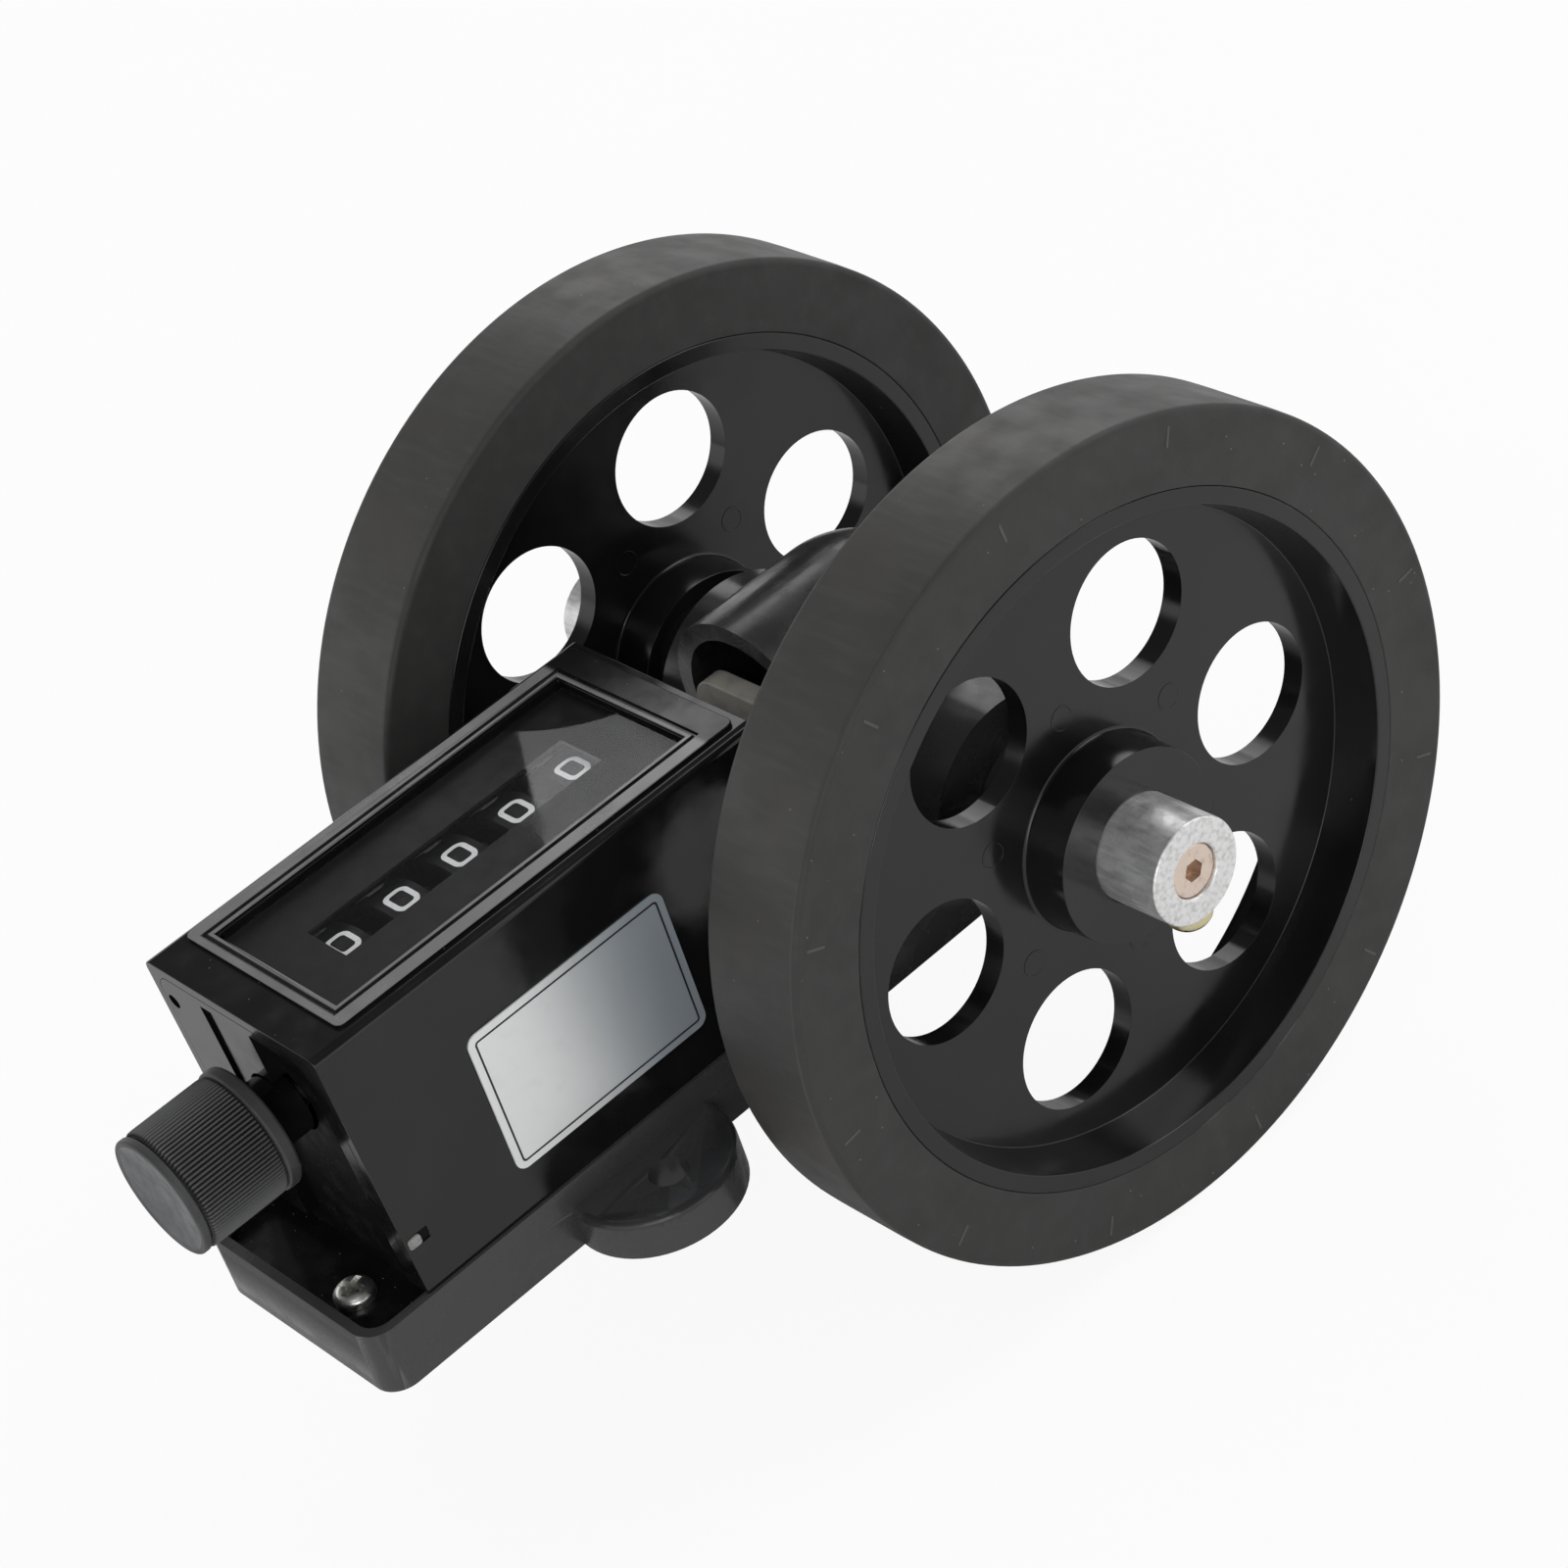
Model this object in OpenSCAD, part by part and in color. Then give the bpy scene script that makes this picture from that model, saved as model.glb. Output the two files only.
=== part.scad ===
// Cable length counter: two rubber-tyred measuring wheels on one axle, a gear case, and a
// five-drum counter in a slim black cover, all on a cast base with two screw ears.
// Frame: the origin lies midway between the two ear holes on the underside of the base.
// +Z is up, +X points along the axle and -Y points to the reset knob.

/* [Measuring wheels] */
// Diameter over the tyre; 106.1 makes one turn a third of a metre
wheel_d = 106.1; // [100:0.1:112]
// Width of a wheel and its tyre
wheel_w = 15.2; // [13:0.1:18]
// From the middle of the axle to the inner face of a wheel
wheel_inset = 30.6; // [30:0.1:36]
// Thickness of the rubber tread
tread_t = 9.65; // [7:0.05:11]
// Thickness of the rim at its open edge
rim_t = 2.2; // [2:0.1:3]
// Thickness of the web between rim and hub
web_t = 3; // [2.5:0.1:4]
// Diameter of the moulded hub
hub_d = 25; // [22:0.5:28]
// Diameter of each lightening hole
web_hole_d = 18; // [14:0.5:20]
// Radius of the circle that the holes lie on
web_hole_reach = 26.8; // [26:0.1:28]
// Turn of the near wheel's holes
near_wheel_turn = 3.4; // [0:0.1:59.9]
// Turn of the far wheel's holes
far_wheel_turn = 16; // [0:0.1:59.9]

/* [Axle] */
// Height of the axle above the underside of the base
axle_z = 19; // [18.5:0.1:19.5]
// Distance of the axle behind the ear holes
axle_y = 61; // [60:0.5:64]
// Diameter of the axle
axle_d = 8; // [7:0.1:8.6]
// Diameter of the sleeve that carries a wheel
sleeve_d = 13.6; // [12.6:0.1:15]
// Length of sleeve that stands out of the wheel
stub_len = 9.4; // [8.5:0.1:12]
// Diameter of the locking screw in the sleeve's end
end_screw_d = 6.9; // [5:0.1:7]

/* [Base] */
// Width of the base
base_w = 35; // [35:0.1:37]
// From the ear holes to the front edge of the base
base_front = 40.3; // [40:0.1:44]
// Height of the base at its rim
base_h = 9; // [8.8:0.1:9.2]
// Height of the floor inside the rim
floor_z = 5; // [4.5:0.1:5.5]
// Thickness of the rim
rim_w = 1.3; // [1:0.1:1.4]
// Plan radius of the front corners
base_corner = 3.5; // [2.5:0.1:5]
// Radius of an ear
ear_r = 11; // [9:0.1:12]
// From the middle line to the centre of an ear's round edge
ear_x = 18.8; // [18:0.1:20]
// Height of an ear
ear_h = 5.5; // [4.5:0.1:7]
// Diameter of the fixing hole in an ear
ear_hole_d = 5; // [4.3:0.1:6]
// Distance between the two fixing holes
ear_hole_span = 45.8; // [45:0.1:47]

/* [Cover] */
// Width of the cover
cover_w = 34; // [34:0.1:34.8]
// From the ear holes to the front edge of the cover
cover_front = 31.1; // [30.8:0.1:31.5]
// From the ear holes to the rear face of the cover
cover_back = 34.1; // [34:0.1:36]
// Height of the cover's top face
cover_top = 46; // [45.6:0.1:47]
// Wall of the cover
cover_wall = 1.5; // [1.2:0.1:1.7]
// Radius along the cover's top edges
cover_edge = 1.2; // [0.6:0.1:1.4]
// Width of the glass
window_w = 24.2; // [22:0.1:24.6]
// From the ear holes to the front edge of the glass
window_front = 25.1; // [24.6:0.1:25.6]
// From the ear holes to the rear edge of the glass
window_back = 27.9; // [27.5:0.1:28.5]
// Thickness of the glass
window_t = 0.8; // [0.6:0.1:1]
// Depth of the glass under the cover's top face
window_recess = 0.4; // [0.2:0.1:0.5]
// Width of the bezel along the sides of the glass
bezel_side = 3.2; // [2:0.1:3.4]
// Width of the bezel in front of the glass
bezel_front = 2.2; // [1.5:0.1:3]
// Width of the bezel behind the glass
bezel_back = 5; // [4:0.1:5.2]
// Height of the bezel over the cover
bezel_h = 0.5; // [0.4:0.1:0.8]
// Width of the reading slot in the black mask
slot_w = 7.7; // [6:0.1:9]
// Length of the blank plate on the cover's side
label_len = 29.9; // [24:0.1:32]
// Height of the blank plate
label_h = 20.5; // [15:0.1:22]
// Thickness of the blank plate
label_t = 0.3; // [0.2:0.05:0.5]

/* [Gear case] */
// Width of the gear case
hood_w = 28; // [28:0.1:28.6]
// Height of its top
hood_top = 46; // [45:0.1:47]
// Wall of the gear case
hood_wall = 2.4; // [2.2:0.1:2.5]
// From the ear holes to its open mouth
mouth_y = 45; // [44.8:0.1:45.5]
// Diameter of the bosses round the axle
boss_d = 27.2; // [26:0.1:28]
// From the middle to the end of a boss
boss_reach = 26; // [25:0.1:26.4]
// Thickness of the pale bearing bridge in the mouth
bridge_t = 3; // [2.5:0.1:3]
// Height of the bridge's top
bridge_top = 35; // [32:0.1:37]

/* [Counter] */
// Diameter of a number drum
drum_d = 26; // [24.5:0.1:26.2]
// Spacing of the drums
drum_pitch = 8.85; // [8.7:0.01:8.9]
// Width of a drum's printed rim
drum_rim_w = 5.4; // [5:0.1:5.6]
// Diameter of the drum shaft
drum_shaft_d = 4; // [3:0.1:4.4]
// Diameter of the drive shaft
drive_shaft_d = 4; // [3:0.1:4]
// Diameter of the transfer pinions' shaft
pinion_shaft_d = 2; // [1.6:0.1:2.2]
// Diameter of the reset knob
knob_d = 16; // [14:0.1:17]
// Length of the knurled part
knurl_len = 11; // [10:0.1:13]
// Number of ribs round the knob
knob_ribs = 92; // [40:1:100]
// Thickness of the sheet chassis
chassis_t = 1.5; // [1.2:0.1:1.6]

/* [Clearances] */
// Radial running clearance of a shaft in its bush
run_gap = 0.06; // [0.03:0.01:0.09]
// Radial clearance of pieces that are seated and stay put
seat_gap = 0.02; // [0.01:0.01:0.04]
// End play between pieces that turn and their neighbours
end_play = 0.3; // [0.2:0.05:0.4]
// Backlash on the flank of a gear tooth
backlash = 0.16; // [0.12:0.01:0.22]

/* [Hidden] */
$fn = 72;

// Colours of the finishes
black_plastic = [0.07, 0.07, 0.07];
black_paint = [0.1, 0.1, 0.1];
rubber = [0.16, 0.16, 0.155];
bright_metal = [0.8, 0.8, 0.8];
bronze = [0.62, 0.5, 0.33];
zinc_yellow = [0.75, 0.68, 0.42];
cream = [0.85, 0.82, 0.74];
grey_satin = [0.5, 0.52, 0.52];
glass_tint = [0.2, 0.2, 0.22, 0.35];
nylon = [0.9, 0.9, 0.88];

// Small overlap that makes a cut or a union clean
eps = 0.01;

// Wheel sizes
wheel_r = wheel_d / 2;
rim_r = wheel_r - tread_t;
rim_inner_r = rim_r - rim_t;
rim_draft = 1.2;
hub_r = hub_d / 2;
wheel_out = wheel_inset + wheel_w;
tyre_edge = 0.8;
key_w = 5;
key_h = 1.2;
hole_count = 6;

// Axle and sleeve sizes
axle_r = axle_d / 2;
sleeve_r = sleeve_d / 2;
sleeve_end = wheel_out + stub_len;
sleeve_start = boss_reach + end_play;
end_screw_len = 5.2;
end_screw_recess = 0.4;
axle_end = sleeve_end - end_screw_recess - end_screw_len;
hex_af = 2.5;
clamp_x = wheel_out + stub_len / 2 + 1.4;
clamp_head_r = 2.9;
clamp_head_h = 1.3;
clamp_shank_r = 1.5;

// Base sizes
base_half = base_w / 2;
base_tail_y = axle_y + 1.5;
pocket_ceiling = floor_z - 2;
ear_edge = 1;
pocket_w = 13.5;
pocket_rib = 2;
pocket_rows = [-base_front + 8.5, 8.2, 8.2 + pocket_w + pocket_rib];

// Gear case sizes
hood_r = hood_w / 2;
hood_spring_z = hood_top - hood_r;
hood_inner_r = hood_r - hood_wall;
boss_r = boss_d / 2;
bush_wall = 2;
bush_r = axle_r + bush_wall;
case_boss_r = 3.2;
case_boss_h = 3;
case_boss_x = hood_inner_r - case_boss_r + 0.6;
case_boss_y = mouth_y + 6.2;
case_tail_y = base_tail_y + hood_inner_r - case_boss_r + 0.6;
case_screw_r = 1.5;
case_screw_head_r = 2.8;
case_screw_head_h = 1.8;
case_screw_len = base_h + 2;

// Counter sizes
drum_r = drum_d / 2;
mask_t = 0.5;
drum_gap = 0.8;
glass_z = cover_top - window_recess - window_t;
drum_z = glass_z - mask_t - drum_gap - drum_r;
drum_count = 5;
drum_last_y = 19.1;
drum_wall = 1.4;
drum_web_t = 1.2;
drum_hub_r = drum_shaft_d / 2 + 1.5;
lock_disc_t = 1.1;
cover_half = cover_w / 2;
cover_inner = cover_half - cover_wall;
front_plate_t = 1.5;
front_recess = 1.5;
front_plate_y = -cover_front + front_recess + front_plate_t;
inner_corner = 2.5;
panel_left = -7;
panel_right = 1.6;
panel_step = 0.4;
flange_side = 2.4;
flange_top = 1.2;
pocket_corner = 1.2;
bezel_corner = 1;
bezel_groove = [0.7, 0.4, 0.25];
tab_reach = 2;
tab_len = 2.2;
tab_h = 1.6;
tab_z = 16.6;
seal_hole_r = 0.7;
seal_hole_z = 39.2;
label_z = 25;
chassis_half = cover_inner - 1;
chassis_top = glass_z - mask_t - 3;
chassis_front_y = front_plate_y + 1.6;
chassis_rear_y = cover_back - cover_wall - 3;
chassis_floor = floor_z + chassis_t;
chassis_nose = base_front - rim_w - 0.3;
shaft_bush_r = drum_shaft_d / 2 + 1.4;
drive_bush_r = drive_shaft_d / 2 + 1.2;
cover_slot_top = axle_z + drive_bush_r + 0.4;

// Reset knob, from its rear end forward
knob_r = knob_d / 2;
skirt_len = 1.8;
skirt_step = 0.2;
groove_len = 0.3;
knob_cap_t = 1;
dish_r = 40;
dish_depth = 0.65;
knob_back = cover_front + 3.7;
knurl_front = knob_back + skirt_len + knurl_len;
knob_front = knurl_front + groove_len;
knob_neck_r = 4.4;
knurl_depth = 0.3;
knob_bore_depth = 11;

// Shelf screw and rear chassis screw
pan_head_r = 2.6;
pan_head_h = 1.9;
pan_shank_r = 1.5;
shelf_screw = [6.6, -base_front + 5.1];
rear_screw = [0, cover_back + 5];

// Reduction pair: the drive pinion turns the tenths drum three times slower
pinion_teeth = 10;
gear_teeth = 30;
spur_m = 2 * (drum_z - axle_z) / (pinion_teeth + gear_teeth);
reduction_w = 3;
reduction_y = drum_last_y + drum_rim_w / 2 + end_play;

// Transfer pairs between neighbouring drums
drum_gear_teeth = 20;
transfer_teeth = 8;
transfer_reach = drum_r + pinion_shaft_d / 2 + 0.5;
transfer_m = 2 * transfer_reach / (drum_gear_teeth + transfer_teeth);
transfer_turn = 240;
transfer_x = transfer_reach * cos(transfer_turn);
transfer_z = drum_z + transfer_reach * sin(transfer_turn);
drum_gear_w = 1.5;
transfer_w = drum_pitch - drum_rim_w - 3 * end_play;
lock_disc_r = transfer_reach - (transfer_teeth / 2 + 1) * transfer_m - end_play;

// Mitre pair between the axle and the drive shaft
mitre_teeth = 16;
mitre_r = 8;
mitre_m = 2 * mitre_r / mitre_teeth;
mitre_face = 3;
mitre_hub_r = 5.4;
mitre_hub_len = 2.6;
drive_front_y = reduction_y;
drive_rear_y = axle_y - mitre_r + mitre_face - 0.2;

// Tooth shape
pressure = 25;
addendum = 0.8;
dedendum = 1.05;
flank_steps = 3;

// ---- gear outlines ----

// Involute angle at radius r over the base circle base_r
function involute(base_r, r) =
    let (a = acos(min(1, base_r / r)))
    tan(a) * 180 / PI - a;

// Half the angle that a tooth takes at radius r
function half_tooth(z, m, r) =
    let (pitch_r = m * z / 2, base_r = pitch_r * cos(pressure))
    90 / z - backlash / (2 * pitch_r) * 180 / PI
        + involute(base_r, pitch_r) - involute(base_r, max(r, base_r));

// Radii from root to tip at which a flank is drawn
function flank_radii(z, m) =
    let (root = m * (z / 2 - dedendum), tip = m * (z / 2 + addendum))
    let (start = max(root + 0.05, m * z / 2 * cos(pressure)))
    concat([root], [for (i = [0:flank_steps]) start + (tip - start) * i / flank_steps]);

// Outline of a spur gear with one tooth centred on the +X direction
function spur_outline(z, m) =
    let (radii = flank_radii(z, m), n = len(radii))
    [for (t = [0:z - 1]) for (i = [0:2 * n - 1])
        let (r = i < n ? radii[i] : radii[2 * n - 1 - i])
        let (a = t * 360 / z + (i < n ? -1 : 1) * half_tooth(z, m, r))
        [r * cos(a), r * sin(a)]];

// Outline of a mitre gear in the plane of its large end. The tooth is laid out on the back
// cone, where the gear looks like a spur gear of root-two times the teeth.
function mitre_point(rho, a, virtual_r, pitch_r) =
    let (rise = (rho - virtual_r) / sqrt(2))
    let (r = pitch_r * (pitch_r + rise) / (pitch_r - rise))
    [r * cos(a), r * sin(a)];

function mitre_outline(z, m) =
    let (virtual_z = z * sqrt(2), pitch_r = m * z / 2, virtual_r = pitch_r * sqrt(2))
    let (radii = flank_radii(virtual_z, m), n = len(radii))
    [for (t = [0:z - 1]) for (i = [0:2 * n - 1])
        let (rho = i < n ? radii[i] : radii[2 * n - 1 - i])
        let (side = i < n ? -1 : 1)
        let (a = t * 360 / z + side * half_tooth(virtual_z, m, rho) * sqrt(2))
        mitre_point(rho, a, virtual_r, pitch_r)];

// ---- shared shapes ----

// Turns what is drawn along +Z so that it lies along +X
module along_x() {
    rotate([90, 0, 90]) children();
}

// Turns what is drawn along +Z so that it lies along +Y, with its +X kept
module along_y() {
    rotate([-90, 0, 0]) children();
}

// Draws the children on the near side and, turned about, on the far side
module both_sides() {
    children();
    mirror([1, 0, 0]) children();
}

module ring(outer_r, inner_r, h) {
    difference() {
        cylinder(r = outer_r, h = h);
        translate([0, 0, -eps]) cylinder(r = inner_r, h = h + 2 * eps);
    }
}

// Rectangle with round corners, centred in X, from y0 to y1
module rounded_rect(w, y0, y1, r) {
    translate([-w / 2 + r, y0]) square([w - 2 * r, y1 - y0]);
    translate([-w / 2, y0 + r]) square([w, y1 - y0 - 2 * r]);
    for (x = [-1, 1])
        for (y = [y0 + r, y1 - r])
            translate([x * (w / 2 - r), y]) circle(r = r, $fn = 32);
}

// Arch: upright sides from z0 to the spring line and a half circle over them
module arch(r, spring_z, z0) {
    translate([-r, z0]) square([2 * r, spring_z - z0]);
    translate([0, spring_z]) circle(r = r);
}

// Pan-head screw with a cross recess, pointing down, with its head's seat at z = 0
module pan_screw(head_r, head_h, shank_r, shank_len) {
    cross_w = head_r * 0.3;
    difference() {
        union() {
            rotate_extrude() intersection() {
                square([head_r, head_h]);
                translate([0, head_h - head_r * 1.25]) circle(r = head_r * 1.25, $fn = 48);
            }
            translate([0, 0, -shank_len]) cylinder(r = shank_r, h = shank_len + eps, $fn = 32);
        }
        for (turn = [20, 110])
            rotate([0, 0, turn])
                translate([-head_r * 0.55, -cross_w / 2, head_h * 0.4])
                    cube([head_r * 1.1, cross_w, head_h]);
    }
}

// ---- base and gear case ----

module base_outline(inset) {
    half = base_half - inset;
    front = base_front - inset;
    corner = base_corner - inset * 0.7;
    translate([-half, -front + corner]) square([2 * half, base_tail_y + front - corner]);
    translate([-half + corner, -front]) square([2 * (half - corner), corner + eps]);
    for (x = [-1, 1])
        translate([x * (half - corner), -front + corner]) circle(r = corner, $fn = 48);
    translate([0, base_tail_y]) circle(r = half);
}

// Screw ear with a rounded upper edge
module ear() {
    translate([ear_x, 0, 0])
        rotate_extrude() {
            square([ear_r - ear_edge, ear_h]);
            square([ear_r, ear_h - ear_edge]);
            translate([ear_r - ear_edge, ear_h - ear_edge]) circle(r = ear_edge, $fn = 32);
        }
}

// Hollows in the underside, with ribs left between them
module underside_pockets() {
    pitch = pocket_w + pocket_rib;
    for (y = pocket_rows)
        for (side = [-1, 1])
            translate([side * pitch / 2 - pocket_w / 2, y, -eps])
                cube([pocket_w, pocket_w, pocket_ceiling]);
}

module base() {
    color(black_paint) difference() {
        union() {
            linear_extrude(base_h) base_outline(0);
            both_sides() ear();
        }
        // tray inside the rim, up to the gear case
        translate([0, 0, floor_z]) linear_extrude(base_h) intersection() {
            base_outline(rim_w);
            translate([-base_w, -base_front]) square([2 * base_w, base_front + mouth_y - 0.4]);
        }
        underside_pockets();
        for (side = [-1, 1])
            translate([side * ear_hole_span / 2, 0, -1])
                cylinder(d = ear_hole_d, h = ear_h + 2, $fn = 48);
        for (at = [shelf_screw, rear_screw])
            translate([at[0], at[1], -1])
                cylinder(r = pan_shank_r + seat_gap, h = base_h, $fn = 32);
        case_screw_places() {
            translate([0, 0, -1])
                cylinder(r = case_screw_r + seat_gap, h = base_h + 2, $fn = 32);
            translate([0, 0, -1])
                cylinder(r = case_screw_head_r + 0.3, h = case_screw_head_h + 1, $fn = 32);
        }
    }
}

module case_screw_places() {
    for (at = [[-case_boss_x, case_boss_y], [case_boss_x, case_boss_y], [0, case_tail_y]])
        translate([at[0], at[1], 0]) children();
}

// Tunnel from the mouth back to the axle, closed by a half-round end with a domed top
module case_body(r, y0) {
    translate([0, base_tail_y, 0]) rotate([90, 0, 0])
        linear_extrude(base_tail_y - y0) arch(r, hood_spring_z, base_h);
    translate([0, base_tail_y, 0])
        rotate_extrude(angle = 180) intersection() {
            arch(r, hood_spring_z, base_h);
            square([r, hood_top + r]);
        }
}

module gear_case() {
    color(black_paint) difference() {
        union() {
            difference() {
                union() {
                    case_body(hood_r, mouth_y);
                    translate([-boss_reach, axle_y, axle_z]) along_x()
                        cylinder(r = boss_r, h = 2 * boss_reach);
                }
                case_body(hood_inner_r, mouth_y - 1);
                // the bosses are cut away where the base stands
                translate([-base_half, mouth_y - 2, -1])
                    cube([base_w, 3 * hood_w, base_h + 1]);
            }
            case_screw_places()
                translate([0, 0, base_h]) cylinder(r = case_boss_r, h = case_boss_h, $fn = 32);
        }
        translate([-boss_reach - 1, axle_y, axle_z]) along_x()
            cylinder(r = bush_r + seat_gap, h = 2 * boss_reach + 2);
        case_screw_places()
            cylinder(r = case_screw_r + seat_gap, h = case_screw_len + 0.5, $fn = 32);
    }
}

// Pale plate across the mouth that carries the rear end of the drive shaft
module bearing_bridge() {
    half = hood_inner_r - seat_gap;
    corner = 4;
    color(cream) difference() {
        translate([0, mouth_y - 0.2 + bridge_t, 0]) rotate([90, 0, 0])
            linear_extrude(bridge_t) {
                translate([-half, base_h]) square([2 * half, bridge_top - corner - base_h]);
                translate([-half + corner, base_h])
                    square([2 * (half - corner), bridge_top - base_h]);
                for (x = [-1, 1])
                    translate([x * (half - corner), bridge_top - corner])
                        circle(r = corner, $fn = 32);
            }
        translate([0, mouth_y - 1, axle_z]) along_y()
            cylinder(r = drive_bush_r + seat_gap, h = bridge_t + 2);
    }
}

module axle_bushes() {
    color(bronze) both_sides()
        translate([hood_inner_r, axle_y, axle_z]) along_x()
            ring(bush_r, axle_r + run_gap, boss_reach - hood_inner_r);
}

module case_screws() {
    color(bright_metal) case_screw_places()
        difference() {
            union() {
                translate([0, 0, 0.4])
                    cylinder(r = case_screw_head_r, h = case_screw_head_h - 0.4, $fn = 32);
                translate([0, 0, 0.4])
                    cylinder(r = case_screw_r, h = case_screw_len - 0.4, $fn = 32);
            }
            translate([-2, -0.4, -eps]) cube([4, 0.8, 1]);
        }
}

// ---- wheels ----

// Half section of the wheel: x is the radius and y runs across the wheel's width
module wheel_section() {
    mid = wheel_w / 2;
    web_r = rim_inner_r - rim_draft;
    polygon([
        [rim_r, 0], [rim_r, mid - key_w / 2], [rim_r + key_h, mid - key_w / 2],
        [rim_r + key_h, mid + key_w / 2], [rim_r, mid + key_w / 2], [rim_r, wheel_w],
        [rim_inner_r, wheel_w], [web_r, mid + web_t / 2], [hub_r, mid + web_t / 2],
        [hub_r - 0.3, wheel_w], [sleeve_r + seat_gap, wheel_w], [sleeve_r + seat_gap, 0],
        [hub_r - 0.3, 0], [hub_r, mid - web_t / 2], [web_r, mid - web_t / 2], [rim_inner_r, 0]
    ]);
}

module wheel(turn) {
    color(black_plastic) translate([wheel_inset, axle_y, axle_z]) along_x()
        difference() {
            rotate_extrude($fn = 144) wheel_section();
            for (i = [0:hole_count - 1])
                rotate([0, 0, turn + i * 360 / hole_count])
                    translate([web_hole_reach, 0, wheel_w / 2 - web_t])
                        cylinder(d = web_hole_d, h = 2 * web_t, $fn = 64);
        }
}

module wheel_near() {
    wheel(near_wheel_turn);
}

module wheel_far() {
    mirror([1, 0, 0]) wheel(far_wheel_turn);
}

module tyre() {
    mid = wheel_w / 2;
    inner = rim_r + seat_gap;
    key_half = key_w / 2 + seat_gap;
    color(rubber) translate([wheel_inset, axle_y, axle_z]) along_x()
        rotate_extrude($fn = 144) polygon([
            [inner, 0], [wheel_r - tyre_edge, 0], [wheel_r, tyre_edge],
            [wheel_r, wheel_w - tyre_edge], [wheel_r - tyre_edge, wheel_w], [inner, wheel_w],
            [inner, mid + key_half], [inner + key_h, mid + key_half],
            [inner + key_h, mid - key_half], [inner, mid - key_half]
        ]);
}

module tyre_near() {
    tyre();
}

module tyre_far() {
    mirror([1, 0, 0]) tyre();
}

// ---- axle line ----

module axle() {
    color(bright_metal) translate([-axle_end, axle_y, axle_z]) along_x()
        cylinder(r = axle_r, h = 2 * axle_end);
}

// Sleeve pressed through the hub, with its end bored for the locking screw
module sleeve() {
    end_depth = sleeve_end - axle_end;
    color(bright_metal) difference() {
        translate([sleeve_start, axle_y, axle_z]) along_x() difference() {
            rotate_extrude() polygon([
                [0, 0], [sleeve_r, 0], [sleeve_r, sleeve_end - sleeve_start - 0.3],
                [sleeve_r - 0.3, sleeve_end - sleeve_start], [0, sleeve_end - sleeve_start]
            ]);
            translate([0, 0, -1])
                cylinder(r = axle_r + seat_gap, h = sleeve_end - sleeve_start - end_depth + 1);
            translate([0, 0, sleeve_end - sleeve_start - end_depth - eps])
                cylinder(d = end_screw_d + 2 * seat_gap, h = end_depth + 1);
        }
        translate([clamp_x, axle_y, axle_z - sleeve_r - 1])
            cylinder(r = clamp_shank_r + seat_gap, h = sleeve_r, $fn = 32);
    }
}

module sleeve_near() {
    sleeve();
}

module sleeve_far() {
    mirror([1, 0, 0]) sleeve();
}

// Flush locking screws with a hexagon socket, one in each sleeve
module end_screws() {
    color(zinc_yellow) both_sides()
        translate([axle_end, axle_y, axle_z]) along_x() difference() {
            cylinder(d = end_screw_d, h = end_screw_len);
            translate([0, 0, end_screw_len - 2.5])
                cylinder(d = hex_af / cos(30), h = 3, $fn = 6);
        }
}

// Radial screws that clamp each sleeve's end from below
module clamp_screws() {
    shank_top = end_screw_d / 2 + 0.1;
    color(zinc_yellow) both_sides()
        translate([clamp_x, axle_y, axle_z - sleeve_r]) rotate([180, 0, 0])
            pan_screw(clamp_head_r, clamp_head_h, clamp_shank_r, sleeve_r - shank_top);
}

// Mitre gear drawn with its large end at z = 0 and its teeth pointing to +Z
module mitre_gear(bore_r) {
    difference() {
        union() {
            linear_extrude(mitre_face, scale = (mitre_r - mitre_face) / mitre_r)
                polygon(mitre_outline(mitre_teeth, mitre_m));
            translate([0, 0, -mitre_hub_len]) cylinder(r = mitre_hub_r, h = mitre_hub_len);
        }
        translate([0, 0, -mitre_hub_len - 1])
            cylinder(r = bore_r + seat_gap, h = mitre_hub_len + mitre_face + 2);
    }
}

module axle_gear() {
    color(bronze) translate([mitre_r, axle_y, axle_z]) rotate([0, -90, 0])
        mitre_gear(axle_r);
}

// The drive gear is half a tooth out of step, so the pair is in mesh at rest
module drive_gear() {
    half_step = 180 / mitre_teeth;
    color(bronze) translate([0, axle_y - mitre_r, axle_z]) along_y()
        rotate([0, 0, half_step]) mitre_gear(drive_shaft_d / 2);
}

module drive_shaft() {
    color(bright_metal) translate([0, drive_front_y, axle_z]) along_y()
        cylinder(d = drive_shaft_d, h = drive_rear_y - drive_front_y);
}

// A gap between teeth points up at the reduction gear above
module reduction_pinion() {
    color(bronze) translate([0, reduction_y, axle_z]) along_y() difference() {
        rotate([0, 0, 90 + 180 / pinion_teeth]) linear_extrude(reduction_w)
            polygon(spur_outline(pinion_teeth, spur_m));
        translate([0, 0, -1])
            cylinder(r = drive_shaft_d / 2 + seat_gap, h = reduction_w + 2, $fn = 48);
    }
}

module reduction_gear() {
    color(nylon) translate([0, reduction_y, drum_z]) along_y() difference() {
        rotate([0, 0, 90]) linear_extrude(reduction_w)
            polygon(spur_outline(gear_teeth, spur_m));
        translate([0, 0, -1])
            cylinder(r = drum_hub_r + seat_gap, h = reduction_w + 2, $fn = 48);
    }
}

// ---- counter ----

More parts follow.
